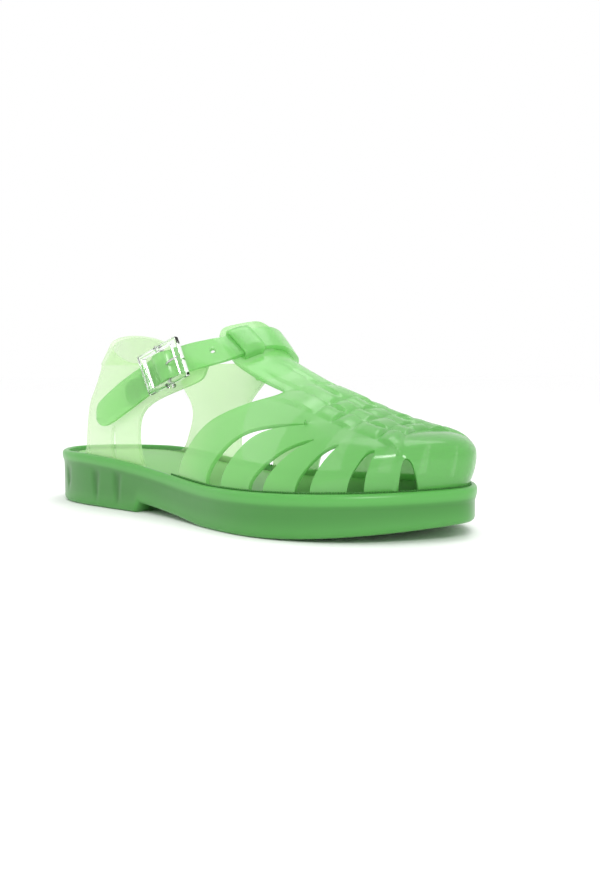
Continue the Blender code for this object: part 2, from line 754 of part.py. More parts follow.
def build_keeper(cutters):
    """The loop at the top of the T-bar, round the ankle strap."""
    wide = LOOP_HALF_WIDTH
    deep = LOOP_HALF_DEPTH
    back = deep - GAP
    cut = WALL / 2
    section = (
        (cut - wide, -back),
        (wide - cut, -back),
        (wide, cut - back),
        (wide, deep - cut),
        (wide - cut, deep),
        (cut - wide, deep),
        (-wide, deep - cut),
        (-wide, cut - back),
    )

    def corner(column, row):
        a, b = section[column % len(section)]
        spread = (row / 3 - 0.5) * KEEPER_WIDTH
        centre, along, across, facing, width = ribbon_frame(KEEPER_PLACE + spread / STRAP_RUN)
        return centre + across * a + facing * b

    bm = bmesh.new()
    place_patch(bm, len(section), 3, corner)
    bmesh.ops.remove_doubles(bm, verts=bm.verts, dist=0.00001)
    bmesh.ops.recalc_face_normals(bm, faces=bm.faces)
    keeper = new_object("keeper", bm, cutters)
    give_wall(keeper, WALL, 0)
    return keeper


def give_wall(obj, thickness, offset):
    wall = obj.modifiers.new("wall", "SOLIDIFY")
    wall.thickness = thickness
    wall.offset = offset
    wall.use_even_offset = True


def combine(obj, other, operation):
    step = obj.modifiers.new(operation.lower() + "_" + other.name, "BOOLEAN")
    step.operation = operation
    step.solver = "EXACT"
    step.object = other


def matrix_of(centre, along, across, facing):
    turn = Matrix((along, across, facing)).transposed().to_4x4()
    return Matrix.Translation(centre) @ turn


def pin_matrix():
    """Frame of the buckle: x along the strap, y across it, z outwards from the strap's middle."""
    centre, along, across, facing, width = ribbon_frame(PIN_ROW / (len(STRAP) - 1))
    return matrix_of(centre, along, across, facing)


def cylinder(name, radius, start, end, matrix, collection, segments=16):
    """A cylinder between two points of a local frame."""
    bm = bmesh.new()
    axis = Vector(end) - Vector(start)
    bmesh.ops.create_cone(
        bm, cap_ends=True, segments=segments, radius1=radius, radius2=radius, depth=axis.length
    )
    turn = axis.to_track_quat("Z", "Y").to_matrix().to_4x4()
    middle = Matrix.Translation((Vector(start) + Vector(end)) / 2)
    bmesh.ops.transform(bm, matrix=matrix @ middle @ turn, verts=bm.verts)
    bmesh.ops.recalc_face_normals(bm, faces=bm.faces)
    return new_object(name, bm, collection)


def box(name, low, high, matrix, collection):
    bm = bmesh.new()
    bmesh.ops.create_cube(bm, size=1.0)
    for vert in bm.verts:
        for k in range(3):
            vert.co[k] = low[k] if vert.co[k] < 0 else high[k]
    bmesh.ops.transform(bm, matrix=matrix, verts=bm.verts)
    bmesh.ops.recalc_face_normals(bm, faces=bm.faces)
    return new_object(name, bm, collection)


def build_buckle_frame(collection, cutters):
    """Clear frame with a wide front bar, a narrow rear bar and a pin on two lugs."""
    matrix = pin_matrix()
    back = -BUCKLE_LENGTH * 0.46
    front = back + BUCKLE_LENGTH
    half = BUCKLE_WIDTH / 2
    along = (back, back + BUCKLE_END_BAR, front - BUCKLE_END_BAR * 1.2, front)
    across = (-half, BUCKLE_SIDE_BAR - half, half - BUCKLE_SIDE_BAR, half)
    under = STRAP_THICKNESS / 2 + BAR_CLEARANCE
    bm = bmesh.new()

    def corner(column, row):
        return matrix @ Vector((along[column], across[row], under + BUCKLE_THICKNESS))

    place_patch(bm, 3, 3, corner, lambda column, row: column == 1 and row == 1)
    bmesh.ops.recalc_face_normals(bm, faces=bm.faces)
    bm.faces.ensure_lookup_table()
    outward = (matrix.to_3x3() @ Vector((0, 0, 1))).normalized()
    if bm.faces[0].normal.dot(outward) < 0:
        bmesh.ops.reverse_faces(bm, faces=bm.faces)
    frame = new_object("buckle_frame", bm, collection)
    give_wall(frame, BUCKLE_THICKNESS, -1)
    soft = frame.modifiers.new("soft_edges", "BEVEL")
    soft.width = EDGE_ROUND
    soft.segments = 2
    soft.limit_method = "ANGLE"
    for side, name in ((-1, "lug_low"), (1, "lug_high")):
        ends = sorted((side * (half - 2 * GAP / 3), side * (half - BUCKLE_SIDE_BAR + GAP / 3)))
        low = (-LUG_HALF, ends[0], -LUG_HALF)
        high = (LUG_HALF, ends[1], under + BUCKLE_THICKNESS / 2)
        lug = box(name, low, high, matrix, cutters)
        combine(frame, lug, "UNION")
    reach = half - BUCKLE_SIDE_BAR / 2
    pin = cylinder("pin", PIN_RADIUS, (0, -reach, PIN_DEPTH), (0, reach, PIN_DEPTH), matrix, cutters)
    combine(frame, pin, "UNION")
    return frame


def prong_path():
    """Middle line of the prong: round the pin, up through the strap, then flat on the front bar."""
    radius = PIN_RADIUS + GAP + PRONG_RADIUS
    points = []
    for k in range(11):
        turn = math.radians(-40 - 20 * k)
        points.append(Vector((radius * math.cos(turn), 0, PIN_DEPTH + radius * math.sin(turn))))
    bar_top = STRAP_THICKNESS / 2 + BAR_CLEARANCE + BUCKLE_THICKNESS + GAP + PRONG_RADIUS
    slope = math.radians(PRONG_SLOPE)
    start = points[-1]
    run = (bar_top - start.z) / math.tan(slope)
    points.append(Vector((start.x + run * 0.55, 0, start.z + (bar_top - start.z) * 0.55)))
    points.append(Vector((start.x + run * 0.92, 0, start.z + (bar_top - start.z) * 0.92)))
    points.append(Vector((start.x + run + PRONG_BEND, 0, bar_top)))
    points.append(Vector((BUCKLE_LENGTH * 0.50, 0, bar_top)))
    return points


def build_prong(collection):
    """A round metal wire swept along the prong's middle line, with a tapered tip."""
    matrix = pin_matrix()
    points = prong_path()
    curve = bpy.data.curves.new("buckle_prong", "CURVE")
    curve.dimensions = "3D"
    curve.bevel_depth = PRONG_RADIUS
    curve.bevel_resolution = 2
    curve.use_fill_caps = True
    spline = curve.splines.new("POLY")
    spline.points.add(len(points) - 1)
    for made, point in zip(spline.points, points):
        made.co = (*(matrix @ point), 1.0)
        made.radius = 1.0
    spline.points[-1].radius = 0.6
    prong = bpy.data.objects.new("buckle_prong", curve)
    collection.objects.link(prong)
    return prong


def stud_matrix():
    """Frame of the stud, under the strap on the outer leg."""
    centre, along, across, facing, width = ribbon_frame(STUD_ROW / (len(STRAP) - 1))
    return matrix_of(centre, along, across, facing)


def build_anchor(collection, cutters):
    """Tab that holds the buckle: a disc riveted to the outer leg and a loop round the pin."""
    matrix = pin_matrix()
    stud = stud_matrix()
    high = -STRAP_THICKNESS / 2 - GAP
    low = high - ANCHOR_THICKNESS
    cells = 4

    def corner(column, row):
        row_place = STUD_ROW + (PIN_ROW - STUD_ROW) * column / cells
        centre, along, across, facing, width = ribbon_frame(row_place / (len(STRAP) - 1))
        return centre + across * ANCHOR_HALF_WIDTH * (2 * row - 1) + facing * high

    bm = bmesh.new()
    place_patch(bm, cells, 1, corner)
    bmesh.ops.recalc_face_normals(bm, faces=bm.faces)
    bm.faces.ensure_lookup_table()
    if bm.faces[0].normal.dot(stud.to_3x3() @ Vector((0, 0, 1))) < 0:
        bmesh.ops.reverse_faces(bm, faces=bm.faces)
    anchor = new_object("buckle_anchor", bm, collection)
    give_wall(anchor, ANCHOR_THICKNESS, -1)
    lip = GAP / 4
    disc = cylinder("disc", STUD_RADIUS, (0, 0, low + GAP), (0, 0, high - GAP), stud, cutters, 24)
    combine(anchor, disc, "UNION")
    inner = low - WALL - 6 * GAP
    shank = cylinder("shank", SHANK_RADIUS, (0, 0, high - 2 * GAP), (0, 0, inner - GAP), stud, cutters, 12)
    combine(anchor, shank, "UNION")
    head_ends = (0, 0, inner), (0, 0, inner - STUD_HEIGHT)
    head = cylinder("head", 1.9 * SHANK_RADIUS, *head_ends, stud, cutters)
    combine(anchor, head, "UNION")
    loop_ends = (0, -ANCHOR_HALF_WIDTH - lip, PIN_DEPTH), (0, ANCHOR_HALF_WIDTH + lip, PIN_DEPTH)
    tube = cylinder("tube", PIN_RADIUS + GAP + LOOP_WALL, *loop_ends, matrix, cutters)
    combine(anchor, tube, "UNION")
    bore_ends = (0, -BUCKLE_WIDTH / 2, PIN_DEPTH), (0, BUCKLE_WIDTH / 2, PIN_DEPTH)
    bore = cylinder("bore", PIN_RADIUS + GAP, *bore_ends, matrix, cutters)
    combine(anchor, bore, "DIFFERENCE")
    room = PRONG_RADIUS + 2 * GAP
    reach = PIN_RADIUS + GAP + 2 * PRONG_RADIUS + 2 * GAP
    slot = box("slot", (-reach, -room, -2 * reach), (2 * reach, room, 2 * reach), matrix, cutters)
    combine(anchor, slot, "DIFFERENCE")
    return anchor


def cut_upper(upper, cutters):
    """Holes in the upper: for the stud in the outer leg, and for the prong in the strap."""
    matrix = pin_matrix()
    hole_ends = (0, 0, -STRAP_THICKNESS), (0, 0, -6 * STRAP_THICKNESS)
    hole = cylinder("stud_hole", SHANK_RADIUS + GAP, *hole_ends, stud_matrix(), cutters, 12)
    combine(upper, hole, "DIFFERENCE")
    path = prong_path()
    through = cylinder("prong_hole", HOLE_RADIUS, path[-5], path[-2], matrix, cutters, 12)
    combine(upper, through, "DIFFERENCE")
    centre, along, across, facing, width = ribbon_frame(SPARE_HOLE_PLACE)
    spot = matrix_of(centre, along, across, facing)
    spare_ends = (0, 0, -2 * STRAP_THICKNESS), (0, 0, 2 * STRAP_THICKNESS)
    spare = cylinder("spare_hole", HOLE_RADIUS, *spare_ends, spot, cutters, 12)
    combine(upper, spare, "DIFFERENCE")


def material(name, colour, roughness, alpha=1.0, metallic=0.0):
    made = bpy.data.materials.new(name)
    made.use_nodes = True
    shader = made.node_tree.nodes["Principled BSDF"]
    shader.inputs["Base Color"].default_value = (*colour, 1.0)
    shader.inputs["Roughness"].default_value = roughness
    shader.inputs["Metallic"].default_value = metallic
    shader.inputs["Alpha"].default_value = alpha
    return made


def place_objects():
    """Move every mesh and curve so that the origin is under the middle of the bounding box."""
    middle = (EDGE.max(axis=0) + EDGE.min(axis=0)) / 2
    shift = Vector((-middle[0], -middle[1], 0))
    for obj in bpy.data.objects:
        obj.data.transform(Matrix.Translation(shift))
    return shift


def main():
    for obj in list(bpy.data.objects):
        bpy.data.objects.remove(obj)
    collection = bpy.data.collections.new("jelly_sandal")
    cutters = bpy.data.collections.new("joined_and_cut_shapes")
    for made in (collection, cutters):
        bpy.context.scene.collection.children.link(made)
    cutters.hide_render = True
    outsole = build_outsole(collection)
    insole = build_insole(collection)
    upper = build_upper_shell(collection)
    combine(upper, build_strap(cutters), "UNION")
    combine(upper, build_keeper(cutters), "UNION")
    cut_upper(upper, cutters)
    frame = build_buckle_frame(collection, cutters)
    prong = build_prong(collection)
    anchor = build_anchor(collection, cutters)
    outsole.data.materials.append(material("sole_green", (0.11, 0.38, 0.09), 0.25))
    insole.data.materials.append(material("footbed_green", (0.35, 0.65, 0.30), 0.30))
    upper.data.materials.append(material("upper_green", (0.25, 0.62, 0.22), 0.20))
    frame.data.materials.append(material("clear_plastic", (0.85, 0.88, 0.86), 0.08))
    prong.data.materials.append(material("prong_metal", (0.62, 0.62, 0.60), 0.25, metallic=1.0))
    anchor.data.materials.append(material("anchor_green", (0.20, 0.55, 0.18), 0.25))
    for obj in cutters.objects:
        obj.hide_render = True
        obj.display_type = "WIRE"
    return place_objects()


PLACED = main()
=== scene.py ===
# %% load the packed sandal
import math

import bmesh
import bpy
import numpy as np
from mathutils import Matrix, Vector


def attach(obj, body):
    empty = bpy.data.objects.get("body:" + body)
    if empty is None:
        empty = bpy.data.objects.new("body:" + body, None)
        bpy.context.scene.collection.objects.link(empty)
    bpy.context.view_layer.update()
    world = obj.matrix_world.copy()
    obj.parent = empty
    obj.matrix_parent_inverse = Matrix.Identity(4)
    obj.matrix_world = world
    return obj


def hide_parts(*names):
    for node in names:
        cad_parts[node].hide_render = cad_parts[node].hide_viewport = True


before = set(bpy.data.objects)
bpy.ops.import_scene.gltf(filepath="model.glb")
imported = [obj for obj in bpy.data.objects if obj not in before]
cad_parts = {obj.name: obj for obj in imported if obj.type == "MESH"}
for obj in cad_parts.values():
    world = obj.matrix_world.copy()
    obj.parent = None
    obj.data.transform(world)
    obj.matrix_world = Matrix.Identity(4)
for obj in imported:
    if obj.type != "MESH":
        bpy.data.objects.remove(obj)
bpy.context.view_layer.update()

# %% [markdown]
# A moulded jelly sandal is one family of sizes: the length and width of the sole, the height of
# the last along its ridge, and the places where its straps begin and end. They come first, as
# named values and short tables, so that every later cell can ask for a point of the last. All
# lengths are in metres, with the heel at x = 0 and the toe towards +x.

# %% sizes of the sole
SOLE_LENGTH = 0.262
BALL_WIDTH = 0.0975
TOE_TIP_OFFSET = 0.006
HEEL_HEIGHT = 0.0278
FOREFOOT_HEIGHT = 0.0193
TOE_LIFT = 0.0024
TOE_SPRING = 0.0065
HEEL_BLOCK_LENGTH = 0.091
BREAST_SLANT = 0.004
ARCH_HEIGHT = 0.005
ARCH_END = 0.150
LIP_HEIGHT = 0.0055
LIP_PROUD = 0.0006
RIM_WIDTH = 0.0032
TRAY_DEPTH = 0.0060
FOOTBED_DROP = 0.0020
OUTLINE_SAMPLES = 720
# Shares of the length: where the rim starts to fall and over how far, where it rises to the toe,
# and where the toe spring starts.
RIM_FALL = (0.15, 0.47)
TOE_RISE_START = 0.62
SPRING_START = 0.70
SPRING_POWER = 1.8
ARCH_HOLD = 1.1
print("sole", SOLE_LENGTH, "long and", BALL_WIDTH, "wide")

# %% sizes of the upper and the buckle
WALL = 0.0020
GAP = 0.0003
BAND_DROP = 0.0024
SIDE_BULGE = 0.0008
TOE_BULGE = 0.0052
INSTEP_HEIGHT = 0.0665
COUNTER_HEIGHT = 0.0745
COUNTER_WIDTH = 0.0524
COUNTER_FLARE = 0.0030
TAB_TAPER = 0.17
PEAK_TUCK = 0.0052
PEAK_REACH = 0.078
PEAK_RISE = 0.026
HEEL_PEAK_HEIGHT = 0.0910
TAB_REACH = 0.138
BAND_BACK = 0.0450
BAND_LEAN = 0.009
BAND_ARCH = 0.001
PEAK_ARCH = 0.0075
FOLD_LIFT = 0.0085
STRAP_WIDTH = 0.0128
STRAP_THICKNESS = 0.0022
TBAR_WIDTH = 0.0340
STRIP_PITCH = 0.0112
WEAVE_RELIEF = 0.0017
BUCKLE_LENGTH = 0.0260
BUCKLE_WIDTH = 0.0200
BUCKLE_THICKNESS = 0.0030
BUCKLE_SIDE_BAR = 0.0025
BUCKLE_END_BAR = 0.0040
BAR_CLEARANCE = 0.0008
PIN_RADIUS = 0.0009
PIN_DEPTH = -0.0006
PIN_LIFT = 0.0033
PRONG_RADIUS = 0.0006
PRONG_SLOPE = 30.0
HOLE_RADIUS = 0.0012
ANCHOR_THICKNESS = 0.0015
ANCHOR_HALF_WIDTH = 0.0052
STUD_RADIUS = 0.0065
STUD_HEIGHT = 0.0010
print("upper", INSTEP_HEIGHT, "high over the instep, buckle", BUCKLE_LENGTH, "long")

# %% tables of the outline, the ridge and the gaps
# Share of the length, outer and inner half width as shares of the ball width.
OUTLINE = (
    (0.040, 0.197, 0.197),
    (0.100, 0.300, 0.300),
    (0.180, 0.342, 0.342),
    (0.300, 0.352, 0.331),
    (0.420, 0.373, 0.311),
    (0.550, 0.445, 0.373),
    (0.660, 0.508, 0.456),
    (0.760, 0.508, 0.492),
    (0.860, 0.420, 0.466),
    (0.930, 0.280, 0.373),
    (0.975, 0.124, 0.228),
)
# Share of the length, height, sideways place and fullness of the section along the ridge.
RIDGE = (
    (0.500, 1.110, 0.070, 1.80),
    (0.680, 0.988, 0.070, 1.80),
    (0.740, 0.900, 0.065, 2.00),
    (0.800, 0.800, 0.060, 2.20),
    (0.860, 0.722, 0.055, 2.45),
    (0.910, 0.668, 0.052, 2.75),
)
# Back and front of a gap at the sole, its top, its line on the ridge, top angle, sweep, top width.
GAPS = (
    (0.588, 0.636, 0.778, 0.760, 50.0, 3.3, 0.006),
    (0.708, 0.740, 0.808, 0.800, 40.0, 2.3, 0.007),
    (0.798, 0.823, 0.848, 0.840, 40.0, 2.0, 0.008),
    (0.875, 0.897, 0.897, 0.880, 40.0, 1.7, 0.008),
    (0.935, 0.955, 0.938, 0.908, 30.0, 1.3, 0.009),
)
BELOW_RIM = -1.0
THROAT = (0.490, 0.490, 0.683, 0.700, 62.0, 2.3, 0.0)
RING_ANGLES = (BELOW_RIM, 0.0, 10.0, 30.0, 40.0, 50.0, 56.0, 67.0, 78.0, 90.0)
TBAR_FIRST_ROW = 7
print(len(GAPS), "gaps on each side of the vamp")

# %% tables of the heel leg and the ankle strap
# Height of a fold, back and front edge of the outer leg, back and front edge of the inner leg.
LEG = (
    (0.470, 0.336, 0.664, 0.465, 0.775),
    (0.577, 0.336, 0.660, 0.498, 0.785),
    (0.671, 0.340, 0.674, 0.503, 0.808),
    (0.752, 0.348, 0.733, 0.485, 0.845),
    (0.819, 0.372, 0.840, 0.450, 0.890),
    (0.886, 0.422, 0.955, 0.422, 0.945),
)
LEG_TOP_SHARES = (1 / 3, 2 / 3, 1.0)
LEG_COLUMNS = (0.0, 0.25, 0.49, 0.56, 0.78, 1.0)
LEG_SLOT_COLUMN = 2
LEG_SLOT_ROWS = 2
LEG_BASE = (0.338, 0.690, 0.430, 0.780)
# Centre of the strap as shares of tab reach, counter width and counter height, its lean in degrees,
# its share of the strap width.
STRAP = (
    (0.4443, -0.6075, 0.6190, 4.0, 0.92),
    (0.4670, -0.6150, 0.6436, 3.0, 1.00),
    (0.5316, -0.6250, 0.6998, 1.0, 1.12),
    (0.6265, -0.6290, 0.7878, 0.0, 1.16),
    (0.7252, -0.6140, 0.8792, 0.0, 1.10),
    (0.8259, -0.5790, 0.9741, 0.0, 1.05),
    (0.9265, -0.5275, 1.0304, 8.0, 1.00),
    (0.9948, -0.4350, 1.0621, 24.0, 1.00),
    (1.0309, -0.2800, 1.0937, 44.0, 1.03),
    (1.0489, -0.0500, 1.1430, 50.0, 1.05),
    (1.0613, 0.2400, 1.1605, 46.0, 1.10),
    (1.0423, 0.4650, 1.1008, 36.0, 1.20),
    (0.9778, 0.5600, 1.0163, 16.0, 1.15),
    (0.8543, 0.4900, 0.9425, 4.0, 0.80),
)
PIN_SHARE = 5 / 13
STUD_SHARE = 3.25 / 13
KEEPER_PLACE = 8.70 / 13
SPARE_HOLE_SHARE = 0.548
print(len(STRAP), "stations on the ankle strap")

# %% [markdown]
# The outline of the sole is one smooth closed curve through the points of the table. A closed
# cubic spline gives the even curve of a real last, which straight runs and arcs would not. It is
# sampled once, with the inward direction at each sample, so that the rim, the edge of the tray
# and the foot of the upper are all the same curve moved inwards.


# %% a smooth closed curve through the points of a table
def closed_spline(points, count):
    """A smooth closed curve through the points, as count points evenly spaced by length."""
    points = np.asarray(points, float)
    steps = np.linalg.norm(np.roll(points, -1, 0) - points, axis=1)
    knots = np.concatenate([[0.0], np.cumsum(steps)])
    size = len(points)
    system = np.zeros((size, size))
    right = np.zeros_like(points)
    for i in range(size):
        before = steps[i - 1]
        after = steps[i]
        system[i, i - 1] = before
        system[i, i] = 2 * (before + after)
        system[i, (i + 1) % size] = after
        slope_after = (points[(i + 1) % size] - points[i]) / after
        slope_before = (points[i] - points[i - 1]) / before
        right[i] = 6 * (slope_after - slope_before)
    bend = np.linalg.solve(system, right)
    dense = np.linspace(0, knots[-1], count * 4, endpoint=False)
    span = np.clip(np.searchsorted(knots, dense, side="right") - 1, 0, size - 1)
    width = steps[span][:, None]
    u = (dense - knots[span])[:, None] / width
    start = points[span]
    end = points[(span + 1) % size]
    curve = start * (1 - u) + end * u
    curve += width**2 / 6 * ((1 - u) ** 3 - (1 - u)) * bend[span]
    curve += width**2 / 6 * (u**3 - u) * bend[(span + 1) % size]
    lengths = np.linalg.norm(np.roll(curve, -1, 0) - curve, axis=1)
    travelled = np.concatenate([[0.0], np.cumsum(lengths)])
    wanted = np.linspace(0, travelled[-1], count, endpoint=False)
    loop = np.vstack([curve, curve[:1]])
    return np.stack([np.interp(wanted, travelled, loop[:, k]) for k in (0, 1)], axis=1)


outer_points = [(a * SOLE_LENGTH, -o * BALL_WIDTH) for a, o, i in OUTLINE]
inner_points = [(a * SOLE_LENGTH, i * BALL_WIDTH) for a, o, i in reversed(OUTLINE)]
toe_tip = [(SOLE_LENGTH, TOE_TIP_OFFSET)]
EDGE = closed_spline([(0.0, 0.0)] + outer_points + toe_tip + inner_points, OUTLINE_SAMPLES)
ALONG = np.roll(EDGE, -1, 0) - np.roll(EDGE, 1, 0)
ALONG /= np.linalg.norm(ALONG, axis=1)[:, None]
INWARD = np.stack([-ALONG[:, 1], ALONG[:, 0]], axis=1)
TOE_INDEX = int(EDGE[:, 0].argmax())
middle = (EDGE.max(0) + EDGE.min(0)) / 2
CENTRE = Vector((middle[0], middle[1], 0))
print("outline", [round(v, 4) for v in EDGE.min(0)], [round(v, 4) for v in EDGE.max(0)])


# %% points on the outline
def on_loop(table, place):
    """A row of a closed table at a fractional index."""
    low = int(math.floor(place)) % OUTLINE_SAMPLES
    share = place - math.floor(place)
    return table[low] * (1 - share) + table[(low + 1) % OUTLINE_SAMPLES] * share


def rim_point(place, inset):
    """The point of the outline moved inwards, as x and y."""
    return on_loop(EDGE, place) + on_loop(INWARD, place) * inset


def place_at(side, x, inset):
    """Index on the outline where the inset outline reaches x. side is -1 outer, +1 inner."""
    curve = EDGE + INWARD * inset
    if side < 0:
        index = np.arange(0, TOE_INDEX + 1)
        return float(np.interp(x, curve[index, 0], index))
    index = np.arange(OUTLINE_SAMPLES, TOE_INDEX - 1, -1)
    return float(np.interp(x, curve[index % OUTLINE_SAMPLES, 0], index))


print("outer ball at", [round(v, 4) for v in rim_point(place_at(-1, 0.19, 0.0), 0.0)])


# %% heights along the sole
def smooth(share):
    """Smooth step from 0 to 1."""
    share = min(max(share, 0.0), 1.0)
    return share * share * (3 - 2 * share)


def eased(value, start, run):
    """Smooth step from 0 at the start to 1 at the end of the run."""
    return smooth((value - start) / run)


def rim_height(x):
    """Height of the sole's rim above the ground."""
    along = x / SOLE_LENGTH
    fall = (HEEL_HEIGHT - FOREFOOT_HEIGHT) * eased(along, *RIM_FALL)
    rise_to_toe = TOE_LIFT * max(0.0, (along - TOE_RISE_START) / (1 - TOE_RISE_START)) ** 2
    return HEEL_HEIGHT - fall + rise_to_toe


def ground_clearance(x):
    """Height of the sole's underside: heel block, breast, arch, flat tread and toe spring."""
    if x <= HEEL_BLOCK_LENGTH:
        return 0.0
    if x < ARCH_END:
        step = min(1.0, (x - HEEL_BLOCK_LENGTH) / BREAST_SLANT)
        fade = (ARCH_END - x) / (ARCH_END - HEEL_BLOCK_LENGTH)
        return ARCH_HEIGHT * step * min(1.0, ARCH_HOLD * fade)
    spring = max(0.0, (x / SOLE_LENGTH - SPRING_START) / (1 - SPRING_START))
    return TOE_SPRING * spring**SPRING_POWER


print("rim height at heel, waist and toe", [round(rim_height(x), 4) for x in (0.0, 0.13, 0.26)])

# %% [markdown]
# Most pieces of this sandal are sheets that follow the last: a grid of cells whose corners are
# put in place by a short function, with some cells left out where the real piece is open. The
# grid comes from Blender's own grid operator, so every helper below only has to say where a
# corner goes. Each finished piece then gets its place in its mesh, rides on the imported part, and
# stands for the plain solid that it dresses.


# %% a grid put in place by a function
def place_patch(bm, columns, rows, corner, is_open=None):
    """A grid of cells whose corners are put in place by a function, with open cells left out."""
    made = bmesh.ops.create_grid(bm, x_segments=columns, y_segments=rows, size=0.5)
    cell_of = {}
    for vert in made["verts"]:
        cell_of[vert] = (round((vert.co.x + 0.5) * columns), round((vert.co.y + 0.5) * rows))
    if is_open:
        left_out = []
        for face in {face for vert in made["verts"] for face in vert.link_faces}:
            column = min(cell_of[vert][0] for vert in face.verts)
            row = min(cell_of[vert][1] for vert in face.verts)
            if is_open(column, row):
                left_out.append(face)
        bmesh.ops.delete(bm, geom=left_out, context="FACES_ONLY")
    for vert, (column, row) in cell_of.items():
        vert.co = corner(column, row)
    return cell_of


def clean_patches(bm, distance=0.00002):
    """Merges patches where they meet and turns all faces the same way."""
    bmesh.ops.remove_doubles(bm, verts=bm.verts, dist=distance)
    loose = [edge for edge in bm.edges if not edge.link_faces]
    bmesh.ops.delete(bm, geom=loose, context="EDGES")
    bmesh.ops.recalc_face_normals(bm, faces=bm.faces)


def turn_towards(bm, direction):
    """Turns all faces of an open sheet the same way, with the first one towards a direction."""
    bmesh.ops.recalc_face_normals(bm, faces=bm.faces)
    bm.faces.ensure_lookup_table()
    if bm.faces[0].normal.dot(direction) < 0:
        bmesh.ops.reverse_faces(bm, faces=bm.faces)


print("grid helpers ready")


# %% finish a piece
def mesh_object(name, bm):
    """An object from a bmesh, smooth shaded, linked to the scene."""
    mesh = bpy.data.meshes.new(name)
    bm.to_mesh(mesh)
    bm.free()
    mesh.polygons.foreach_set("use_smooth", [True] * len(mesh.polygons))
    obj = bpy.data.objects.new(name, mesh)
    bpy.context.scene.collection.objects.link(obj)
    return obj


def finish_piece(obj, material, slot_name, *nodes):
    """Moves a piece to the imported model's origin, ties it to the part and gives its finish."""
    obj.data.transform(Matrix.Translation(-CENTRE))
    obj.data.materials.clear()
    obj.data.materials.append(material)
    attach(obj, "root")
    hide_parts(*nodes)
    print(obj.name, len(obj.data.polygons), "faces before its modifiers")


def applied(obj):
    """The object with its modifiers applied to its mesh."""
    graph = bpy.context.evaluated_depsgraph_get()
    mesh = bpy.data.meshes.new_from_object(obj.evaluated_get(graph))
    obj.modifiers.clear()
    obj.data = mesh
    return obj


def give_wall(obj, thickness, offset):
    """Thickens a sheet: offset -1 grows inwards, 0 both ways."""
    wall = obj.modifiers.new("wall", "SOLIDIFY")
    wall.thickness = thickness
    wall.offset = offset


def soften(obj, width, segments=2, degrees=40):
    """Rounds the sharp edges of a piece."""
    soft = obj.modifiers.new("soft_edges", "BEVEL")
    soft.width = width
    soft.segments = segments
    soft.limit_method = "ANGLE"
    soft.angle_limit = math.radians(degrees)


print("finishing helpers ready")

# %% [markdown]
# The green plastic is soft vinyl: light passes through a thin strap and comes out pale, and a
# thick sole looks deep. A real wall both scatters the light and lets some of it straight
# through. So the finish mixes a diffuse body, a translucent part that glows from behind, a clear
# part that shows what lies behind the wall, and a glossy skin on top, which is strongest where the
# wall turns away from the eye. The share that is clear falls from the thin heel to the toe, where
# several layers lie close together.


# %% node helpers
def fresh_material(name):
    """An empty node material with its output node."""
    made = bpy.data.materials.new(name)
    made.use_nodes = True
    tree = made.node_tree
    tree.nodes.clear()
    output = tree.nodes.new("ShaderNodeOutputMaterial")
    return made, tree, output


def node(tree, kind, sockets=None, **settings):
    """A node with its settings; each socket gets a value, or a link from another socket."""
    made = tree.nodes.new(kind)
    for setting, value in settings.items():
        setattr(made, setting, value)
    for socket, value in (sockets or {}).items():
        if isinstance(value, bpy.types.NodeSocket):
            tree.links.new(value, made.inputs[socket])
        else:
            made.inputs[socket].default_value = value
    return made


def mixed(tree, share, first, second):
    """Two shaders mixed: a share of 0 shows the first one only."""
    sockets = {0: share, 1: first.outputs[0], 2: second.outputs[0]}
    return node(tree, "ShaderNodeMixShader", sockets)


def along_ramp(tree, stops):
    """A colour that changes along the length: stops are (x in metres, linear colour)."""
    low = stops[0][0]
    high = stops[-1][0]
    place = node(tree, "ShaderNodeTexCoord")
    split = node(tree, "ShaderNodeSeparateXYZ", {0: place.outputs["Object"]})
    reach = {"Value": split.outputs["X"], "From Min": low, "From Max": high}
    spread = node(tree, "ShaderNodeMapRange", reach)
    ramp = node(tree, "ShaderNodeValToRGB", {"Fac": spread.outputs["Result"]})
    ramp.color_ramp.interpolation = "EASE"
    while len(ramp.color_ramp.elements) < len(stops):
        ramp.color_ramp.elements.new(0.5)
    for element, (x, colour) in zip(ramp.color_ramp.elements, stops):
        element.position = (x - low) / (high - low)
        element.color = (*colour, 1.0)
    return ramp.outputs["Color"]


def fine_bump(tree, scale, strength, distance):
    """A faint unevenness of the moulded surface."""
    place = node(tree, "ShaderNodeTexCoord")
    grain = {"Vector": place.outputs["Object"], "Scale": scale, "Detail": 2.0}
    noise = node(tree, "ShaderNodeTexNoise", grain)
    relief = {"Strength": strength, "Distance": distance, "Height": noise.outputs["Fac"]}
    return node(tree, "ShaderNodeBump", relief).outputs["Normal"]


print("node helpers ready")


# %% soft translucent vinyl
GLOSS_POWER = 4.0
HEAD_ON_GLOSS = 0.04


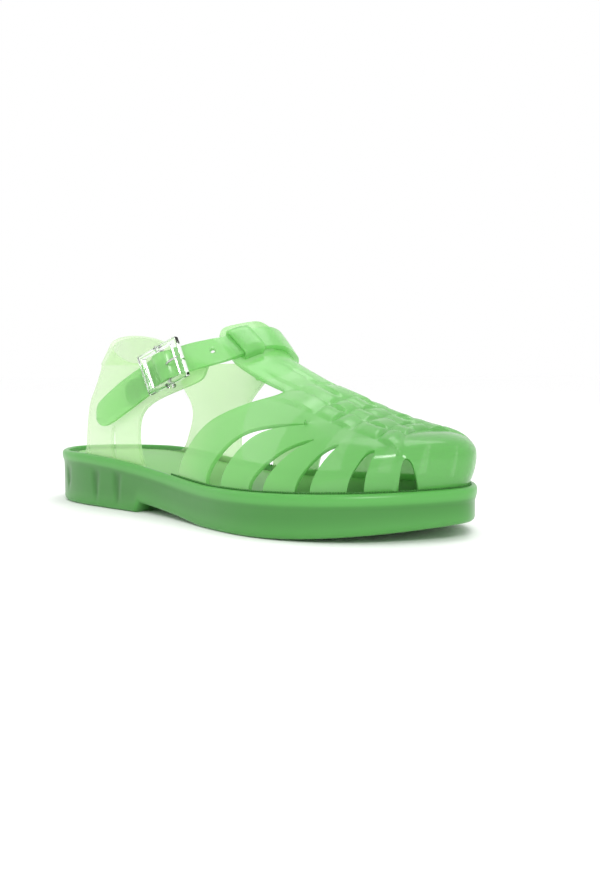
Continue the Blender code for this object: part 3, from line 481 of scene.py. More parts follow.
def jelly(name, colours, clear_shares, clear_colour, grazing_gloss=0.5, glow=0.4, roughness=0.18):
    """Vinyl whose body colour and clear share change along the length of the sandal."""
    made, tree, output = fresh_material(name)
    normal = fine_bump(tree, 60.0, 0.10, 0.0012)
    colour = along_ramp(tree, colours)
    matt = {"Roughness": 0.45, "Specular IOR Level": 0.0, "Base Color": colour, "Normal": normal}
    body = node(tree, "ShaderNodeBsdfPrincipled", matt)
    glowing = node(tree, "ShaderNodeBsdfTranslucent", {"Color": colour})
    clear = node(tree, "ShaderNodeBsdfTransparent", {"Color": (*clear_colour, 1.0)})
    clear_share = along_ramp(tree, [(x, (share,) * 3) for x, share in clear_shares])
    wall = mixed(tree, clear_share, mixed(tree, glow, body, glowing), clear)
    shine = {"Roughness": roughness, "Color": (1.0, 1.0, 1.0, 1.0), "Normal": normal}
    skin = node(tree, "ShaderNodeBsdfGlossy", shine)
    facing = node(tree, "ShaderNodeLayerWeight", {"Blend": 0.5, "Normal": normal})
    grazing_terms = {0: facing.outputs["Facing"], 1: GLOSS_POWER}
    grazing = node(tree, "ShaderNodeMath", grazing_terms, operation="POWER")
    gloss_terms = {0: grazing.outputs[0], 1: grazing_gloss, 2: HEAD_ON_GLOSS}
    gloss = node(tree, "ShaderNodeMath", gloss_terms, operation="MULTIPLY_ADD")
    whole = mixed(tree, gloss.outputs[0], wall, skin)
    tree.links.new(whole.outputs[0], output.inputs["Surface"])
    return made


# The body colours are painted light and shade: pale at the heel, painted light shining through the
# thin wall, and darker toward the toe, painted shade inside the toe box.
upper_green = jelly(
    "upper_green",
    [
        (-0.12, (0.74, 0.90, 0.62)),
        (-0.03, (0.58, 0.86, 0.44)),
        (0.03, (0.30, 0.73, 0.23)),
        (0.125, (0.17, 0.55, 0.13)),
    ],
    [(-0.12, 0.70), (-0.03, 0.62), (0.02, 0.34), (0.12, 0.20)],
    (0.95, 0.99, 0.91),
)
# The strap is painted a little paler towards the heel, painted light shining through it.
strap_green = jelly(
    "strap_green",
    [(-0.08, (0.36, 0.76, 0.28)), (0.03, (0.30, 0.72, 0.23))],
    [(-0.08, 0.42), (0.03, 0.34)],
    (0.88, 0.98, 0.83),
)
anchor_green = jelly(
    "anchor_green",
    [(-0.06, (0.15, 0.48, 0.11)), (0.0, (0.15, 0.48, 0.11))],
    [(-0.06, 0.2), (0.0, 0.2)],
    (0.8, 0.97, 0.75),
)
print("vinyl finishes made")


# %% sole, clear plastic and metal finishes
def sole_material(name, colours):
    """Thick vinyl: light goes in, scatters and comes out deep green; painted light and shade sets
    its colour, and painted shade darkens the flutes.
    """
    made, tree, output = fresh_material(name)
    # The attribute holds painted light and shade: a painted highlight on the lip, painted shade
    # below it and in the flutes, a painted glow near the tread.
    depth = node(tree, "ShaderNodeAttribute", attribute_name="painted_light_and_shade")
    ramp = node(tree, "ShaderNodeValToRGB", {"Fac": depth.outputs["Fac"]})
    for stop, colour in zip(ramp.color_ramp.elements, colours):
        stop.color = (*colour, 1.0)
    sockets = {
        "Roughness": 0.32,
        "IOR": 1.45,
        "Subsurface Weight": 0.35,
        "Subsurface Scale": 0.004,
        "Subsurface Radius": (0.5, 1.0, 0.4),
        "Base Color": ramp.outputs["Color"],
        "Normal": fine_bump(tree, 45.0, 0.2, 0.0015),
    }
    body = node(tree, "ShaderNodeBsdfPrincipled", sockets)
    tree.links.new(body.outputs[0], output.inputs["Surface"])
    return made


# The dark colour is painted shade, the light one the painted highlight of the lip.
sole_green = sole_material("sole_green", ((0.028, 0.150, 0.020), (0.090, 0.350, 0.070)))


def plain_material(name, colour, roughness, metallic=0.0, transmission=0.0, ior=1.45):
    """A Principled finish with plain values on its own sockets."""
    made, tree, output = fresh_material(name)
    sockets = {
        "Base Color": (*colour, 1.0),
        "Roughness": roughness,
        "Metallic": metallic,
        "Transmission Weight": transmission,
        "IOR": ior,
    }
    body = node(tree, "ShaderNodeBsdfPrincipled", sockets)
    tree.links.new(body.outputs[0], output.inputs["Surface"])
    return made


# The footbed is painted darker toward the toe: painted shade under the vamp.
footbed_green = jelly(
    "footbed_green",
    [(-0.12, (0.42, 0.78, 0.33)), (0.02, (0.30, 0.66, 0.22)), (0.12, (0.07, 0.24, 0.055))],
    [(-0.12, 0.0), (0.12, 0.0)],
    (0.9, 1.0, 0.9),
    grazing_gloss=0.15,
)
clear_plastic = plain_material("clear_plastic", (0.97, 0.99, 0.97), 0.02, transmission=1.0)
prong_metal = plain_material("prong_metal", (0.55, 0.55, 0.54), 0.22, metallic=1.0)
print("other finishes made")

# %% [markdown]
# The sole is cast in one mould. From the side it shows a tread edge, a wall that is a little
# recessed, a soft proud lip and a flat rim, and inside the rim lies the tray that takes the upper.
# Every level of the mould follows the same outline, so the wall is one long grid: its columns run
# once round the shoe and its rows are the levels of the section, listed from the ground up. Two
# flat decks, with strips straight across the foot, close it below and inside the tray. The outer
# side of the heel has three short soft flutes, which the wall takes as a small push inwards.

# %% levels of the sole's section
RECESS = LIP_PROUD + 0.0003
# Inset from the outline, share of the way from the ground to the foot of the lip, extra height.
SOLE_LEVELS = (
    (RECESS + 0.0024, 0.0, 0.0000),
    (RECESS + 0.0012, 0.0, 0.0003),
    (RECESS + 0.0004, 0.0, 0.0010),
    (RECESS, 0.0, 0.0022),
    (RECESS, 0.2, 0.0012),
    (RECESS, 0.35, 0.0),
    (RECESS, 0.5, 0.0),
    (RECESS, 0.65, 0.0),
    (RECESS, 0.8, 0.0),
    (RECESS, 0.9, 0.0),
    (RECESS * 0.9, 1.0, -0.0008),
    (RECESS * 0.6, 1.0, 0.0002),
    (RECESS * 0.25, 1.0, 0.0012),
    (0.0, 1.0, 0.0024),
    (0.0, 1.0, 0.0036),
    (0.0002, 1.0, LIP_HEIGHT - 0.0011),
    (0.0007, 1.0, LIP_HEIGHT - 0.0004),
    (0.0015, 1.0, LIP_HEIGHT),
    (RIM_WIDTH - 0.0008, 1.0, LIP_HEIGHT),
    (RIM_WIDTH - 0.0002, 1.0, LIP_HEIGHT - 0.0003),
    (RIM_WIDTH, 1.0, LIP_HEIGHT - 0.0010),
    (RIM_WIDTH, 1.0, LIP_HEIGHT - TRAY_DEPTH),
)
# Place of a flute on the outer side of the heel, its half width, its bottom height.
FLUTES = ((0.0300, 0.0042, 0.0095), (0.0590, 0.0044, 0.0065), (0.0775, 0.0042, 0.0055))
FLUTE_TOP = 0.0190
FLUTE_DEPTH = 0.0006
FLUTE_FADE = 0.002
FLUTE_FOOT_SHARE = 0.45
FLUTE_SHARPNESS = 1.6
SOLE_RUNGS = 230
BREAST_CLEAR = 0.0006
DECK_ROWS = 12
WELD = 0.000005


def sole_places():
    """Places round the outline at matching lengths on both sides, close at heel and toe."""
    shares = [0.5 - 0.5 * math.cos(math.pi * k / SOLE_RUNGS) for k in range(1, SOLE_RUNGS)]
    breast = (HEEL_BLOCK_LENGTH, HEEL_BLOCK_LENGTH + BREAST_SLANT)
    rungs = [share * SOLE_LENGTH for share in shares]
    rungs = [x for x in rungs if min(abs(x - b) for b in breast) > BREAST_CLEAR]
    rungs = sorted(rungs + list(breast))
    outer = [place_at(-1, x, 0.0) for x in rungs]
    inner = [place_at(1, x, 0.0) for x in reversed(rungs)]
    return [0.0] + outer + [float(TOE_INDEX)] + inner


def flute_push(point, height):
    """How far a flute pushes the wall in, as a share of its depth."""
    if point[1] > 0:
        return 0.0
    push = 0.0
    for place, half, bottom in FLUTES:
        if height < bottom - FLUTE_FADE or height > FLUTE_TOP + FLUTE_FADE:
            continue
        climb = smooth((height - bottom) / (FLUTE_TOP - bottom))
        taper = FLUTE_FOOT_SHARE + (1 - FLUTE_FOOT_SHARE) * climb
        across = max(0.0, 1 - abs(point[0] - place) / (half * taper))
        foot = eased(height, bottom - FLUTE_FADE, FLUTE_FADE)
        head = smooth((FLUTE_TOP + FLUTE_FADE - height) / (2 * FLUTE_FADE))
        push = max(push, smooth(across * FLUTE_SHARPNESS) * foot * head)
    return push


print(len(SOLE_LEVELS), "levels,", len(FLUTES), "flutes")

# %% the sole
SOLE_PLACES = sole_places()
SOLE_COLUMNS = len(SOLE_PLACES)


def sole_level(place, level):
    """A point of the sole's wall."""
    inset, share, extra = SOLE_LEVELS[level]
    x = rim_point(place, 0.0)[0]
    low = ground_clearance(x)
    high = rim_height(x) - LIP_HEIGHT
    height = low + (high - low) * share + extra
    push = flute_push(rim_point(place, 0.0), height) if 0.1 < share < 0.95 else 0.0
    point = rim_point(place, inset + FLUTE_DEPTH * push)
    return Vector((point[0], point[1], height))


def moulded_block(level_point, last_level):
    """A wall round the outline, closed by a deck at its lowest level and one at its highest."""
    bm = bmesh.new()

    def wall_point(column, row):
        return level_point(SOLE_PLACES[column % SOLE_COLUMNS], row)

    place_patch(bm, SOLE_COLUMNS, last_level, wall_point)
    for level in (0, last_level):

        def deck_point(column, row):
            outer = wall_point(column, level)
            return outer.lerp(wall_point(SOLE_COLUMNS - column, level), row / DECK_ROWS)

        place_patch(bm, SOLE_COLUMNS // 2, DECK_ROWS, deck_point)
    clean_patches(bm, WELD)
    return bm


# Painted light and shade: the lip is painted light, the wall below it painted darker as the shade
# under the lip, with a painted glow near the tread, and the flutes are painted dark as shade in
# their hollows.
LIP_SHADE = (-0.0012, 0.0030)
WALL_SHADE = 0.34
TREAD_GLOW = 0.40
TREAD_GLOW_HEIGHT = 0.010
FLUTE_SHADE = 0.30
bm = moulded_block(sole_level, len(SOLE_LEVELS) - 1)
shade = bm.verts.layers.float.new("painted_light_and_shade")
for vert in bm.verts:
    x = vert.co.x
    height = vert.co.z
    light = eased(height - (rim_height(x) - LIP_HEIGHT), *LIP_SHADE)
    low_glow = TREAD_GLOW * (1 - smooth((height - ground_clearance(x)) / TREAD_GLOW_HEIGHT))
    vert[shade] = max(light, WALL_SHADE + low_glow) - FLUTE_SHADE * flute_push(vert.co, height)
outsole = mesh_object("outsole_moulding", bm)
finish_piece(outsole, sole_green, "sole_green", "outsole")

# %% [markdown]
# The footbed is a thin slab that lies in the tray, seen through the gaps of the vamp and behind
# the heel. It is the same pair of wall and deck, with a softly rounded edge.

# %% the footbed
FOOTBED_CLEARANCE = 0.0016
FOOTBED_INSET = RIM_WIDTH + GAP + WALL + FOOTBED_CLEARANCE
# Inset from the outline and height below the rim.
FOOTBED_LEVELS = (
    (FOOTBED_INSET, TRAY_DEPTH - GAP),
    (FOOTBED_INSET, FOOTBED_DROP + 0.0014),
    (FOOTBED_INSET + 0.0004, FOOTBED_DROP + 0.0005),
    (FOOTBED_INSET + 0.0014, FOOTBED_DROP),
)


def footbed_level(place, level):
    """A point of the footbed's edge."""
    inset, drop = FOOTBED_LEVELS[level]
    point = rim_point(place, inset)
    return Vector((point[0], point[1], rim_height(rim_point(place, 0.0)[0]) - drop))


footbed = mesh_object("footbed", moulded_block(footbed_level, len(FOOTBED_LEVELS) - 1))
finish_piece(footbed, footbed_green, "footbed_green", "insole")

# %% [markdown]
# The vamp lies on the last. A place round the outline and an angle from the sole up to the ridge
# give a point of that last, and the lines between the straps sweep forward as they climb. The
# fullness of the section, a superellipse power, makes the toe box rounder than the waist.

# %% the last under the vamp
UPPER_INSET = RIM_WIDTH + GAP
TOE_BULGE_START = (0.80, 0.15)
BULGE_POWER = 0.6
POLE_X = RIDGE[-1][0] * SOLE_LENGTH


def foot_height(x):
    """Height where the straps leave the low band that runs round inside the tray."""
    return rim_height(x) - BAND_DROP


def ridge_value(x, column):
    """A column of the ridge's table at a place along the sole."""
    table = np.asarray(RIDGE)
    return float(np.interp(x / SOLE_LENGTH, table[:, 0], table[:, column]))


def rise(angle, fullness):
    """Share of the height that the last has reached at an angle round it."""
    return math.sin(math.radians(max(0.0, angle))) ** (2 / fullness)


def last_point(place, angle):
    """The last's surface. place runs round the outline; angle runs from the sole to the ridge."""
    base = rim_point(place, UPPER_INSET)
    anchor_x = min(base[0], POLE_X)
    anchor = np.array([anchor_x, ridge_value(anchor_x, 2) * BALL_WIDTH])
    fullness = ridge_value(base[0], 3)
    if angle == BELOW_RIM:
        return Vector((base[0], base[1], foot_height(base[0])))
    share = max(0.0, math.cos(math.radians(angle))) ** (2 / fullness)
    toe_share = eased(base[0] / SOLE_LENGTH, *TOE_BULGE_START)
    out = math.sin(math.radians(2 * angle)) ** BULGE_POWER
    bulge = (SIDE_BULGE + TOE_BULGE * toe_share) * out
    plan = anchor + (base - anchor) * share - on_loop(INWARD, place) * bulge
    low = rim_height(base[0])
    high = ridge_value(anchor_x, 1) * INSTEP_HEIGHT
    return Vector((plan[0], plan[1], low + (high - low) * rise(angle, fullness)))


print("ridge at the instep", [round(v, 4) for v in last_point(place_at(-1, 0.18, UPPER_INSET), 90)])


# %% lines between the straps
def line_along(row, angle, front):
    """Where a line between two straps lies along the sole, at an angle round the last."""
    back_x, front_x, top_x, ridge_x, top_angle, sweep, top_width = row
    start = front_x if front else back_x
    if angle > top_angle:
        return top_x + (ridge_x - top_x) * (angle - top_angle) / (90 - top_angle)
    top_x += top_width / 2 if front else -top_width / 2
    fullness = ridge_value(top_x * SOLE_LENGTH, 3)
    share = (rise(angle, fullness) / rise(top_angle, fullness)) ** sweep
    return start + (top_x - start) * share


def vamp_lines(side, angle):
    """Places of all the vamp's lines on one side, from the throat to the toe cap."""
    edges = [line_along(THROAT, angle, False)]
    for row in GAPS:
        edges += [line_along(row, angle, False), line_along(row, angle, True)]
    lines = []
    for k in range(0, len(edges) - 1, 2):
        lines += [edges[k], (edges[k] + edges[k + 1]) / 2, edges[k + 1]]
    lines.append(edges[-1])
    return [place_at(side, x * SOLE_LENGTH, UPPER_INSET) for x in lines]


TOE_CAP_CELLS = 8
SIDE_LINES = 3 * len(GAPS) + 1
VAMP_COLUMNS = 2 * (SIDE_LINES - 1) + TOE_CAP_CELLS


def vamp_point(column, row):
    """Corner of the vamp's cage, from the outer throat round the toe to the inner throat."""
    angle = RING_ANGLES[row]
    outer = vamp_lines(-1, angle)
    inner = vamp_lines(1, angle)
    if column < SIDE_LINES:
        place = outer[column]
    elif column >= SIDE_LINES - 1 + TOE_CAP_CELLS:
        place = inner[VAMP_COLUMNS - column]
    else:
        share = (column - SIDE_LINES + 1) / TOE_CAP_CELLS
        place = outer[-1] + (inner[-1] - outer[-1]) * share
    return last_point(place, angle)


def is_gap(column, row):
    """True for a cell of the vamp that is open."""
    from_side = min(column, VAMP_COLUMNS - 1 - column)
    if from_side >= SIDE_LINES - 1 or from_side % 3 != 2:
        return False
    return RING_ANGLES[row + 1] <= GAPS[from_side // 3][4]


def strap_number(column):
    """How many straps lie behind a column, counted in halves; gaps take no room."""
    from_side = min(column, VAMP_COLUMNS - column)
    if from_side >= SIDE_LINES - 1:
        return float(len(GAPS))
    return from_side // 3 + (0.0, 0.5, 1.0)[from_side % 3]


print(VAMP_COLUMNS, "columns round the vamp")

# %% [markdown]
# The counter has two legs, one on each side of the heel, and a band that joins them behind the
# heel and leans outwards. The outer leg has one upright slot near its foot. The front edge of a
# leg sweeps up into the tab that carries the strap. Where a fold, a flare or a tuck comes in is
# told by two shares of the tab's reach: where it starts and over how far it grows.


# %% the heel's cage
FOLD_FADE = (0.40, 0.22)
FLARE_GROWTH = (0.399, 0.290)
TUCK_FADE = (0.362, 0.181)
TAPER_START = 0.717
LEAN_END = 0.85
PEAK_BACK_EDGE = 0.018
PEAK_FRONT_EDGE = 0.03


def counter_top(x):
    """Height of the counter's top line."""
    share = max(0.0, (PEAK_REACH - x) / PEAK_RISE)
    return COUNTER_HEIGHT + (HEEL_PEAK_HEIGHT - COUNTER_HEIGHT) * min(1.0, share) ** 2


LEG_FOLDS = len(LEG)
HEEL_ROWS = LEG_FOLDS + len(LEG_TOP_SHARES)
BACK_CELLS = 10
LEG_CELLS = len(LEG_COLUMNS) - 1
HEEL_COLUMNS = 2 * LEG_CELLS + BACK_CELLS


def leg_edges(side, row):
    """Back and front edge of a heel leg at a row of the heel's cage."""
    columns = slice(0, 2) if side < 0 else slice(2, 4)
    if row == 0:
        back, front = LEG_BASE[columns]
        return back * TAB_REACH, front * TAB_REACH
    back, front = LEG[min(row, LEG_FOLDS) - 1][1:][columns]
    if row > LEG_FOLDS:
        share = LEG_TOP_SHARES[row - LEG_FOLDS - 1]
        back += PEAK_BACK_EDGE * share
        front = min(1.0, front + PEAK_FRONT_EDGE * share)
    return back * TAB_REACH, front * TAB_REACH


def row_height(row, x):
    """Height of a row of the heel's cage."""
    if row == 0:
        return foot_height(x)
    low = LEG[min(row, LEG_FOLDS) - 1][0] * COUNTER_HEIGHT
    if row < LEG_FOLDS:
        return low
    low += FOLD_LIFT * (1 - eased(x / TAB_REACH, *FOLD_FADE))
    if row == LEG_FOLDS:
        return low
    return low + (counter_top(x) - low) * LEG_TOP_SHARES[row - LEG_FOLDS - 1]


def leg_point(side, row, share):
    """A point of a heel leg: share runs from its back edge to its front edge."""
    back, front = leg_edges(side, row)
    x = back + (front - back) * share
    base = rim_point(place_at(side, x, UPPER_INSET), UPPER_INSET)
    height = row_height(row, x)
    if row == 0:
        return Vector((base[0], base[1], height))
    low = foot_height(x)
    lean = min(1.0, (height - low) / (COUNTER_HEIGHT - low) / LEAN_END)
    along = x / TAB_REACH
    top_half = COUNTER_WIDTH / 2 + COUNTER_FLARE * eased(along, *FLARE_GROWTH)
    top_half -= TAB_TAPER * max(0.0, along - TAPER_START) * TAB_REACH
    above = max(0, row - LEG_FOLDS) / len(LEG_TOP_SHARES)
    top_half -= PEAK_TUCK * above * (1 - eased(along, *TUCK_FADE))
    return Vector((x, side * (abs(base[1]) * (1 - lean) + top_half * lean), height))


def back_point(row, turn):
    """A point of the band behind the heel. turn runs from -90 degrees, outer side, to 90."""
    across = math.sin(math.radians(turn))
    behind = math.cos(math.radians(turn))
    side = leg_point(-1, row, 0.0).lerp(leg_point(1, row, 0.0), (across + 1) / 2)
    above = (row - LEG_FOLDS) / len(LEG_TOP_SHARES)
    back = BAND_BACK + BAND_LEAN * above
    height = side.z + (BAND_ARCH + PEAK_ARCH * above) * behind
    return Vector((side.x - (side.x - back) * behind, side.y, height))


def back_base(column):
    """Place on the outline under a column of the open back."""
    outer = place_at(-1, leg_edges(-1, 0)[0], UPPER_INSET)
    inner = place_at(1, leg_edges(1, 0)[0], UPPER_INSET) - OUTLINE_SAMPLES
    return outer + (inner - outer) * (column - LEG_CELLS) / BACK_CELLS


def heel_point(column, row):
    """Corner of the heel's cage, from the outer front edge round the back to the inner one."""
    if column <= LEG_CELLS:
        return leg_point(-1, row, LEG_COLUMNS[LEG_CELLS - column])
    if column >= LEG_CELLS + BACK_CELLS:
        return leg_point(1, row, LEG_COLUMNS[column - LEG_CELLS - BACK_CELLS])
    if row >= LEG_FOLDS:
        return back_point(row, -90 + 180 * (column - LEG_CELLS) / BACK_CELLS)
    base = rim_point(back_base(column), UPPER_INSET)
    return Vector((base[0], base[1], foot_height(base[0])))


def heel_open(column, row):
    """True for a cell of the heel that is open: the back and the slot in the outer leg."""
    if LEG_CELLS <= column < LEG_CELLS + BACK_CELLS:
        return row < LEG_FOLDS
    return LEG_CELLS - 1 - column == LEG_SLOT_COLUMN and row < LEG_SLOT_ROWS


print(HEEL_COLUMNS, "columns round the heel")


# %% the low band inside the tray
def band_places():
    """Places on the outline of every line that stands on the low band, once round the foot."""
    heel = []
    for column in range(HEEL_COLUMNS + 1):
        if LEG_CELLS < column < LEG_CELLS + BACK_CELLS:
            heel.append(back_base(column))
        elif column <= LEG_CELLS:
            heel.append(place_at(-1, heel_point(column, 0).x, UPPER_INSET))
        else:
            heel.append(place_at(1, heel_point(column, 0).x, UPPER_INSET) - OUTLINE_SAMPLES)
    outer = vamp_lines(-1, BELOW_RIM)
    inner = vamp_lines(1, BELOW_RIM)
    cap = [outer[-1] + (inner[-1] - outer[-1]) * k / TOE_CAP_CELLS for k in range(1, TOE_CAP_CELLS)]
    vamp = outer + cap + inner[::-1]
    forward = heel[::-1]
    outer_gap = np.linspace(forward[-1], vamp[0], 5)[1:-1]
    inner_gap = np.linspace(vamp[-1], forward[0] + OUTLINE_SAMPLES, 5)[1:-1]
    closing = [forward[0] + OUTLINE_SAMPLES]
    return forward + list(outer_gap) + vamp + list(inner_gap) + closing


BAND_PLACES = band_places()


def band_point(column, row):
    """Corner of the low band: row 0 stands in the tray, row 1 carries the straps."""
    base = rim_point(BAND_PLACES[column], UPPER_INSET)
    height = foot_height(base[0])
    if row == 0:
        height = rim_height(base[0]) - TRAY_DEPTH + GAP
    return Vector((base[0], base[1], height))


print(len(BAND_PLACES), "lines stand on the band")


# %% [markdown]
# The ankle strap is a ribbon. Its centre line is a smooth curve through the table's points, and
# each station also knows how far the ribbon leans, because the strap stands upright on the side of
# the ankle and lies almost flat over the instep.


# %% the frame of the ankle strap
def ribbon_frame(share):
    """Centre, direction along, direction across, outward normal and width of the strap."""
    last = len(STRAP) - 1
    row = min(int(share * last), last - 1)
    table = np.asarray(STRAP)
    u = share * last - row
    before = table[max(row - 1, 0)]
    here = table[row]
    there = table[row + 1]
    after = table[min(row + 2, last)]
    bend = 2 * before - 5 * here + 4 * there - after
    twist = 3 * here - before - 3 * there + after
    blend = 0.5 * (2 * here + (there - before) * u + bend * u**2 + twist * u**3)
    slope = 0.5 * ((there - before) + 2 * bend * u + 3 * twist * u**2)
    sizes = np.array((TAB_REACH, COUNTER_WIDTH, COUNTER_HEIGHT))
    centre = Vector(blend[:3] * sizes)
    along = Vector(slope[:3] * sizes).normalized()
    up = Vector((0, 0, 1))
    side = (up - along * up.dot(along)).normalized()
    normal = along.cross(side).normalized()
    lean = math.radians(blend[3])
    across = (side * math.cos(lean) - normal * math.sin(lean)).normalized()
    facing = (normal * math.cos(lean) + side * math.sin(lean)).normalized()
    return centre, along, across, facing, STRAP_WIDTH * blend[4]


def frame_matrix(share):
    """Matrix of the strap's frame: x along, y across, z outwards."""
    centre, along, across, facing, width = ribbon_frame(share)
    return Matrix.Translation(centre) @ Matrix((along, across, facing)).transposed().to_4x4()


PIN_MATRIX = frame_matrix(PIN_SHARE)
STUD_MATRIX = frame_matrix(STUD_SHARE)
print("pin at", [round(v, 4) for v in PIN_MATRIX.translation])

# %% [markdown]
# The T-bar climbs from the vamp to the ankle strap, passes under it and ends in a rounded flap
# that shows above the strap. It begins on the vamp's own corners, so the two merge into one wall.

# %% the T-bar
LOOP_CLEARANCE = 0.0005
LOOP_HALF_WIDTH = STRAP_WIDTH / 2 + LOOP_CLEARANCE + WALL / 2
LOOP_HALF_DEPTH = STRAP_THICKNESS / 2 + LOOP_CLEARANCE + WALL / 2
TBAR_SAG = 0.0015
TBAR_CROWN = 0.0022
TBAR_END = (-0.95, 1.0, 1.00)
TBAR_COLUMNS = 2 * (len(RING_ANGLES) - 1 - TBAR_FIRST_ROW)
steps = [ribbon_frame(k / 100)[0] for k in range(101)]
STRAP_RUN = sum((b - a).length for a, b in zip(steps, steps[1:]))
TBAR_ROWS = 4
TBAR_SHARE = 9.25 / 13
# Rows of the flap: place across the strap in half widths, how far behind it, share of the width.
FLAP = (
    (-0.60, 1.0, 1.00),
    (0.00, 1.0, 1.00),
    (0.60, 1.0, 1.00),
    (1.10, 1.0, 0.96),
    (1.50, 0.9, 0.84),
    (1.80, 0.8, 0.56),
)


def tbar_point(column, row):
    """Corner of the strap that climbs from the vamp, passes under the ankle strap and ends."""
    if column <= TBAR_COLUMNS / 2:
        start = vamp_point(0, TBAR_FIRST_ROW + column)
    else:
        start = vamp_point(VAMP_COLUMNS, TBAR_FIRST_ROW + TBAR_COLUMNS - column)
    if row == 0:
        return start
    depth = LOOP_HALF_DEPTH - WALL / 2
    crown = 1 - (2 * column / TBAR_COLUMNS - 1) ** 2
    place, behind, narrow = FLAP[row - TBAR_ROWS - 1] if row > TBAR_ROWS else TBAR_END
    spread = (column / TBAR_COLUMNS - 0.5) * TBAR_WIDTH * narrow
    centre, along, across, facing, width = ribbon_frame(TBAR_SHARE + spread / STRAP_RUN)
    end = centre + across * LOOP_HALF_WIDTH * place - facing * depth * behind
    if row >= TBAR_ROWS:
        return end
    share = row / TBAR_ROWS
    sag = TBAR_SAG * math.sin(math.pi * share)
    rounded = TBAR_CROWN * crown * 4 * share * (1 - share)
    return start.lerp(end, share) + Vector((0, 0, rounded - sag))


print(TBAR_COLUMNS, "columns across the T-bar, strap", round(STRAP_RUN, 3), "long")

# %% [markdown]
# The four cages are merged and rounded by one subdivision, which also carries two numbers along:
# how many straps lie behind a point, and nothing for the heel. With the sideways place they make
# a chequer of crossings, and each crossing is a small pillow: it arches along the strip that is
# on top and falls off at that strip's edges. The pillows are pushed out along the normals before
# the sheet gets its thickness, so the weave is one wall, as it is in the mould.

# %% the sheet of the upper
TBAR_ROW_STEP = 0.4
NOT_WOVEN = -9.0
bm = bmesh.new()
strap_layer = bm.verts.layers.float.new("strap_number")
woven_layer = bm.verts.layers.float.new("woven")
vamp_rows = len(RING_ANGLES) - 1
strap_of = {}
cells = place_patch(bm, VAMP_COLUMNS, vamp_rows, vamp_point, is_gap)
for vert, (column, row) in cells.items():
    strap_of[vert] = strap_number(column)
cells = place_patch(bm, TBAR_COLUMNS, TBAR_ROWS + len(FLAP), tbar_point)
for vert, (column, row) in cells.items():
    strap_of[vert] = -TBAR_ROW_STEP * row
place_patch(bm, HEEL_COLUMNS, HEEL_ROWS, heel_point, heel_open)
place_patch(bm, len(BAND_PLACES) - 1, 1, band_point)
for vert in bm.verts:
    vert[strap_layer] = strap_of.get(vert, NOT_WOVEN)
    vert[woven_layer] = 1.0 if vert in strap_of else 0.0
clean_patches(bm)
bm.faces.ensure_lookup_table()
toe = max(bm.faces, key=lambda face: face.calc_center_median().x)
if toe.normal.x < 0:
    bmesh.ops.reverse_faces(bm, faces=bm.faces)
upper = mesh_object("upper_moulding", bm)
rounding = upper.modifiers.new("rounded_straps", "SUBSURF")
rounding.levels = 3
rounding.render_levels = 3
applied(upper)
print("upper sheet", len(upper.data.polygons), "faces")


# %% the weave
STRIPS = 5
PLATE_EDGE = 0.09
ARCH_POWER = 0.7
CLIMB_SHARE = 0.7
CLIMB_REACH = 1.2


def plate(share):
    """1 across a strip, falling to 0 at its two edges."""
    edge = np.clip(np.minimum(share, 1 - share) / PLATE_EDGE, 0, 1)
    return edge * edge * (3 - 2 * edge)


def arch(share):
    """The rise and fall of a strip over the one that it crosses."""
    return np.sin(np.pi * np.clip(share, 0, 1)) ** ARCH_POWER


def read_values(source, name, width):
    """One value of every vertex of the sheet, as a table with a column for each part of it."""
    values = np.empty(len(upper.data.vertices) * width)
    source.foreach_get(name, values)
    return values.reshape(-1, width)


mesh = upper.data
places = read_values(mesh.vertices, "co", 3)
normals = read_values(mesh.vertices, "normal", 3)
straps = read_values(mesh.attributes["strap_number"].data, "value", 1)[:, 0]
woven = read_values(mesh.attributes["woven"].data, "value", 1)[:, 0]
ridge_table = np.asarray(RIDGE)
ridge_y = np.interp(places[:, 0] / SOLE_LENGTH, ridge_table[:, 0], ridge_table[:, 2]) * BALL_WIDTH
strips = (places[:, 1] - ridge_y) / STRIP_PITCH + STRIPS / 2
strap_cell = np.floor(straps)
strip_cell = np.floor(strips)
strap_share = straps - strap_cell
strip_share = strips - strip_cell
along_on_top = (strap_cell + strip_cell) % 2 == 0
pillow = np.where(
    along_on_top,
    arch(strap_share) * plate(strip_share),
    arch(strip_share) * plate(strap_share),
)
inside = (strips > 0) & (strips < STRIPS) & (straps > 0.0) & (straps < len(GAPS) - 0.001)
climbing = (strips > 1) & (strips < STRIPS - 1) & (straps <= 0.0) & (straps > -CLIMB_REACH)
fade = np.clip(1 + straps / CLIMB_REACH, 0, 1)
relief = np.where(inside, pillow, 0)
relief = relief + np.where(climbing, CLIMB_SHARE * plate(strip_share) * fade, 0)
relief = relief * WEAVE_RELIEF * (woven > 0.99)
places += normals * relief[:, None]
mesh.vertices.foreach_set("co", places.ravel())
mesh.update()
print("woven vertices", int((relief > 0).sum()), "highest relief", round(float(relief.max()), 5))
give_wall(upper, WALL, -1)
soften(upper, 0.00045)
finish_piece(upper, upper_green, "upper_green", "upper")

# %% [markdown]
# Along the forefoot the foot of the upper ends in a fine row of beads, left by the mould where the
# two parts are welded. Each bead is a small ball, repeated along the outline, just above the rim.

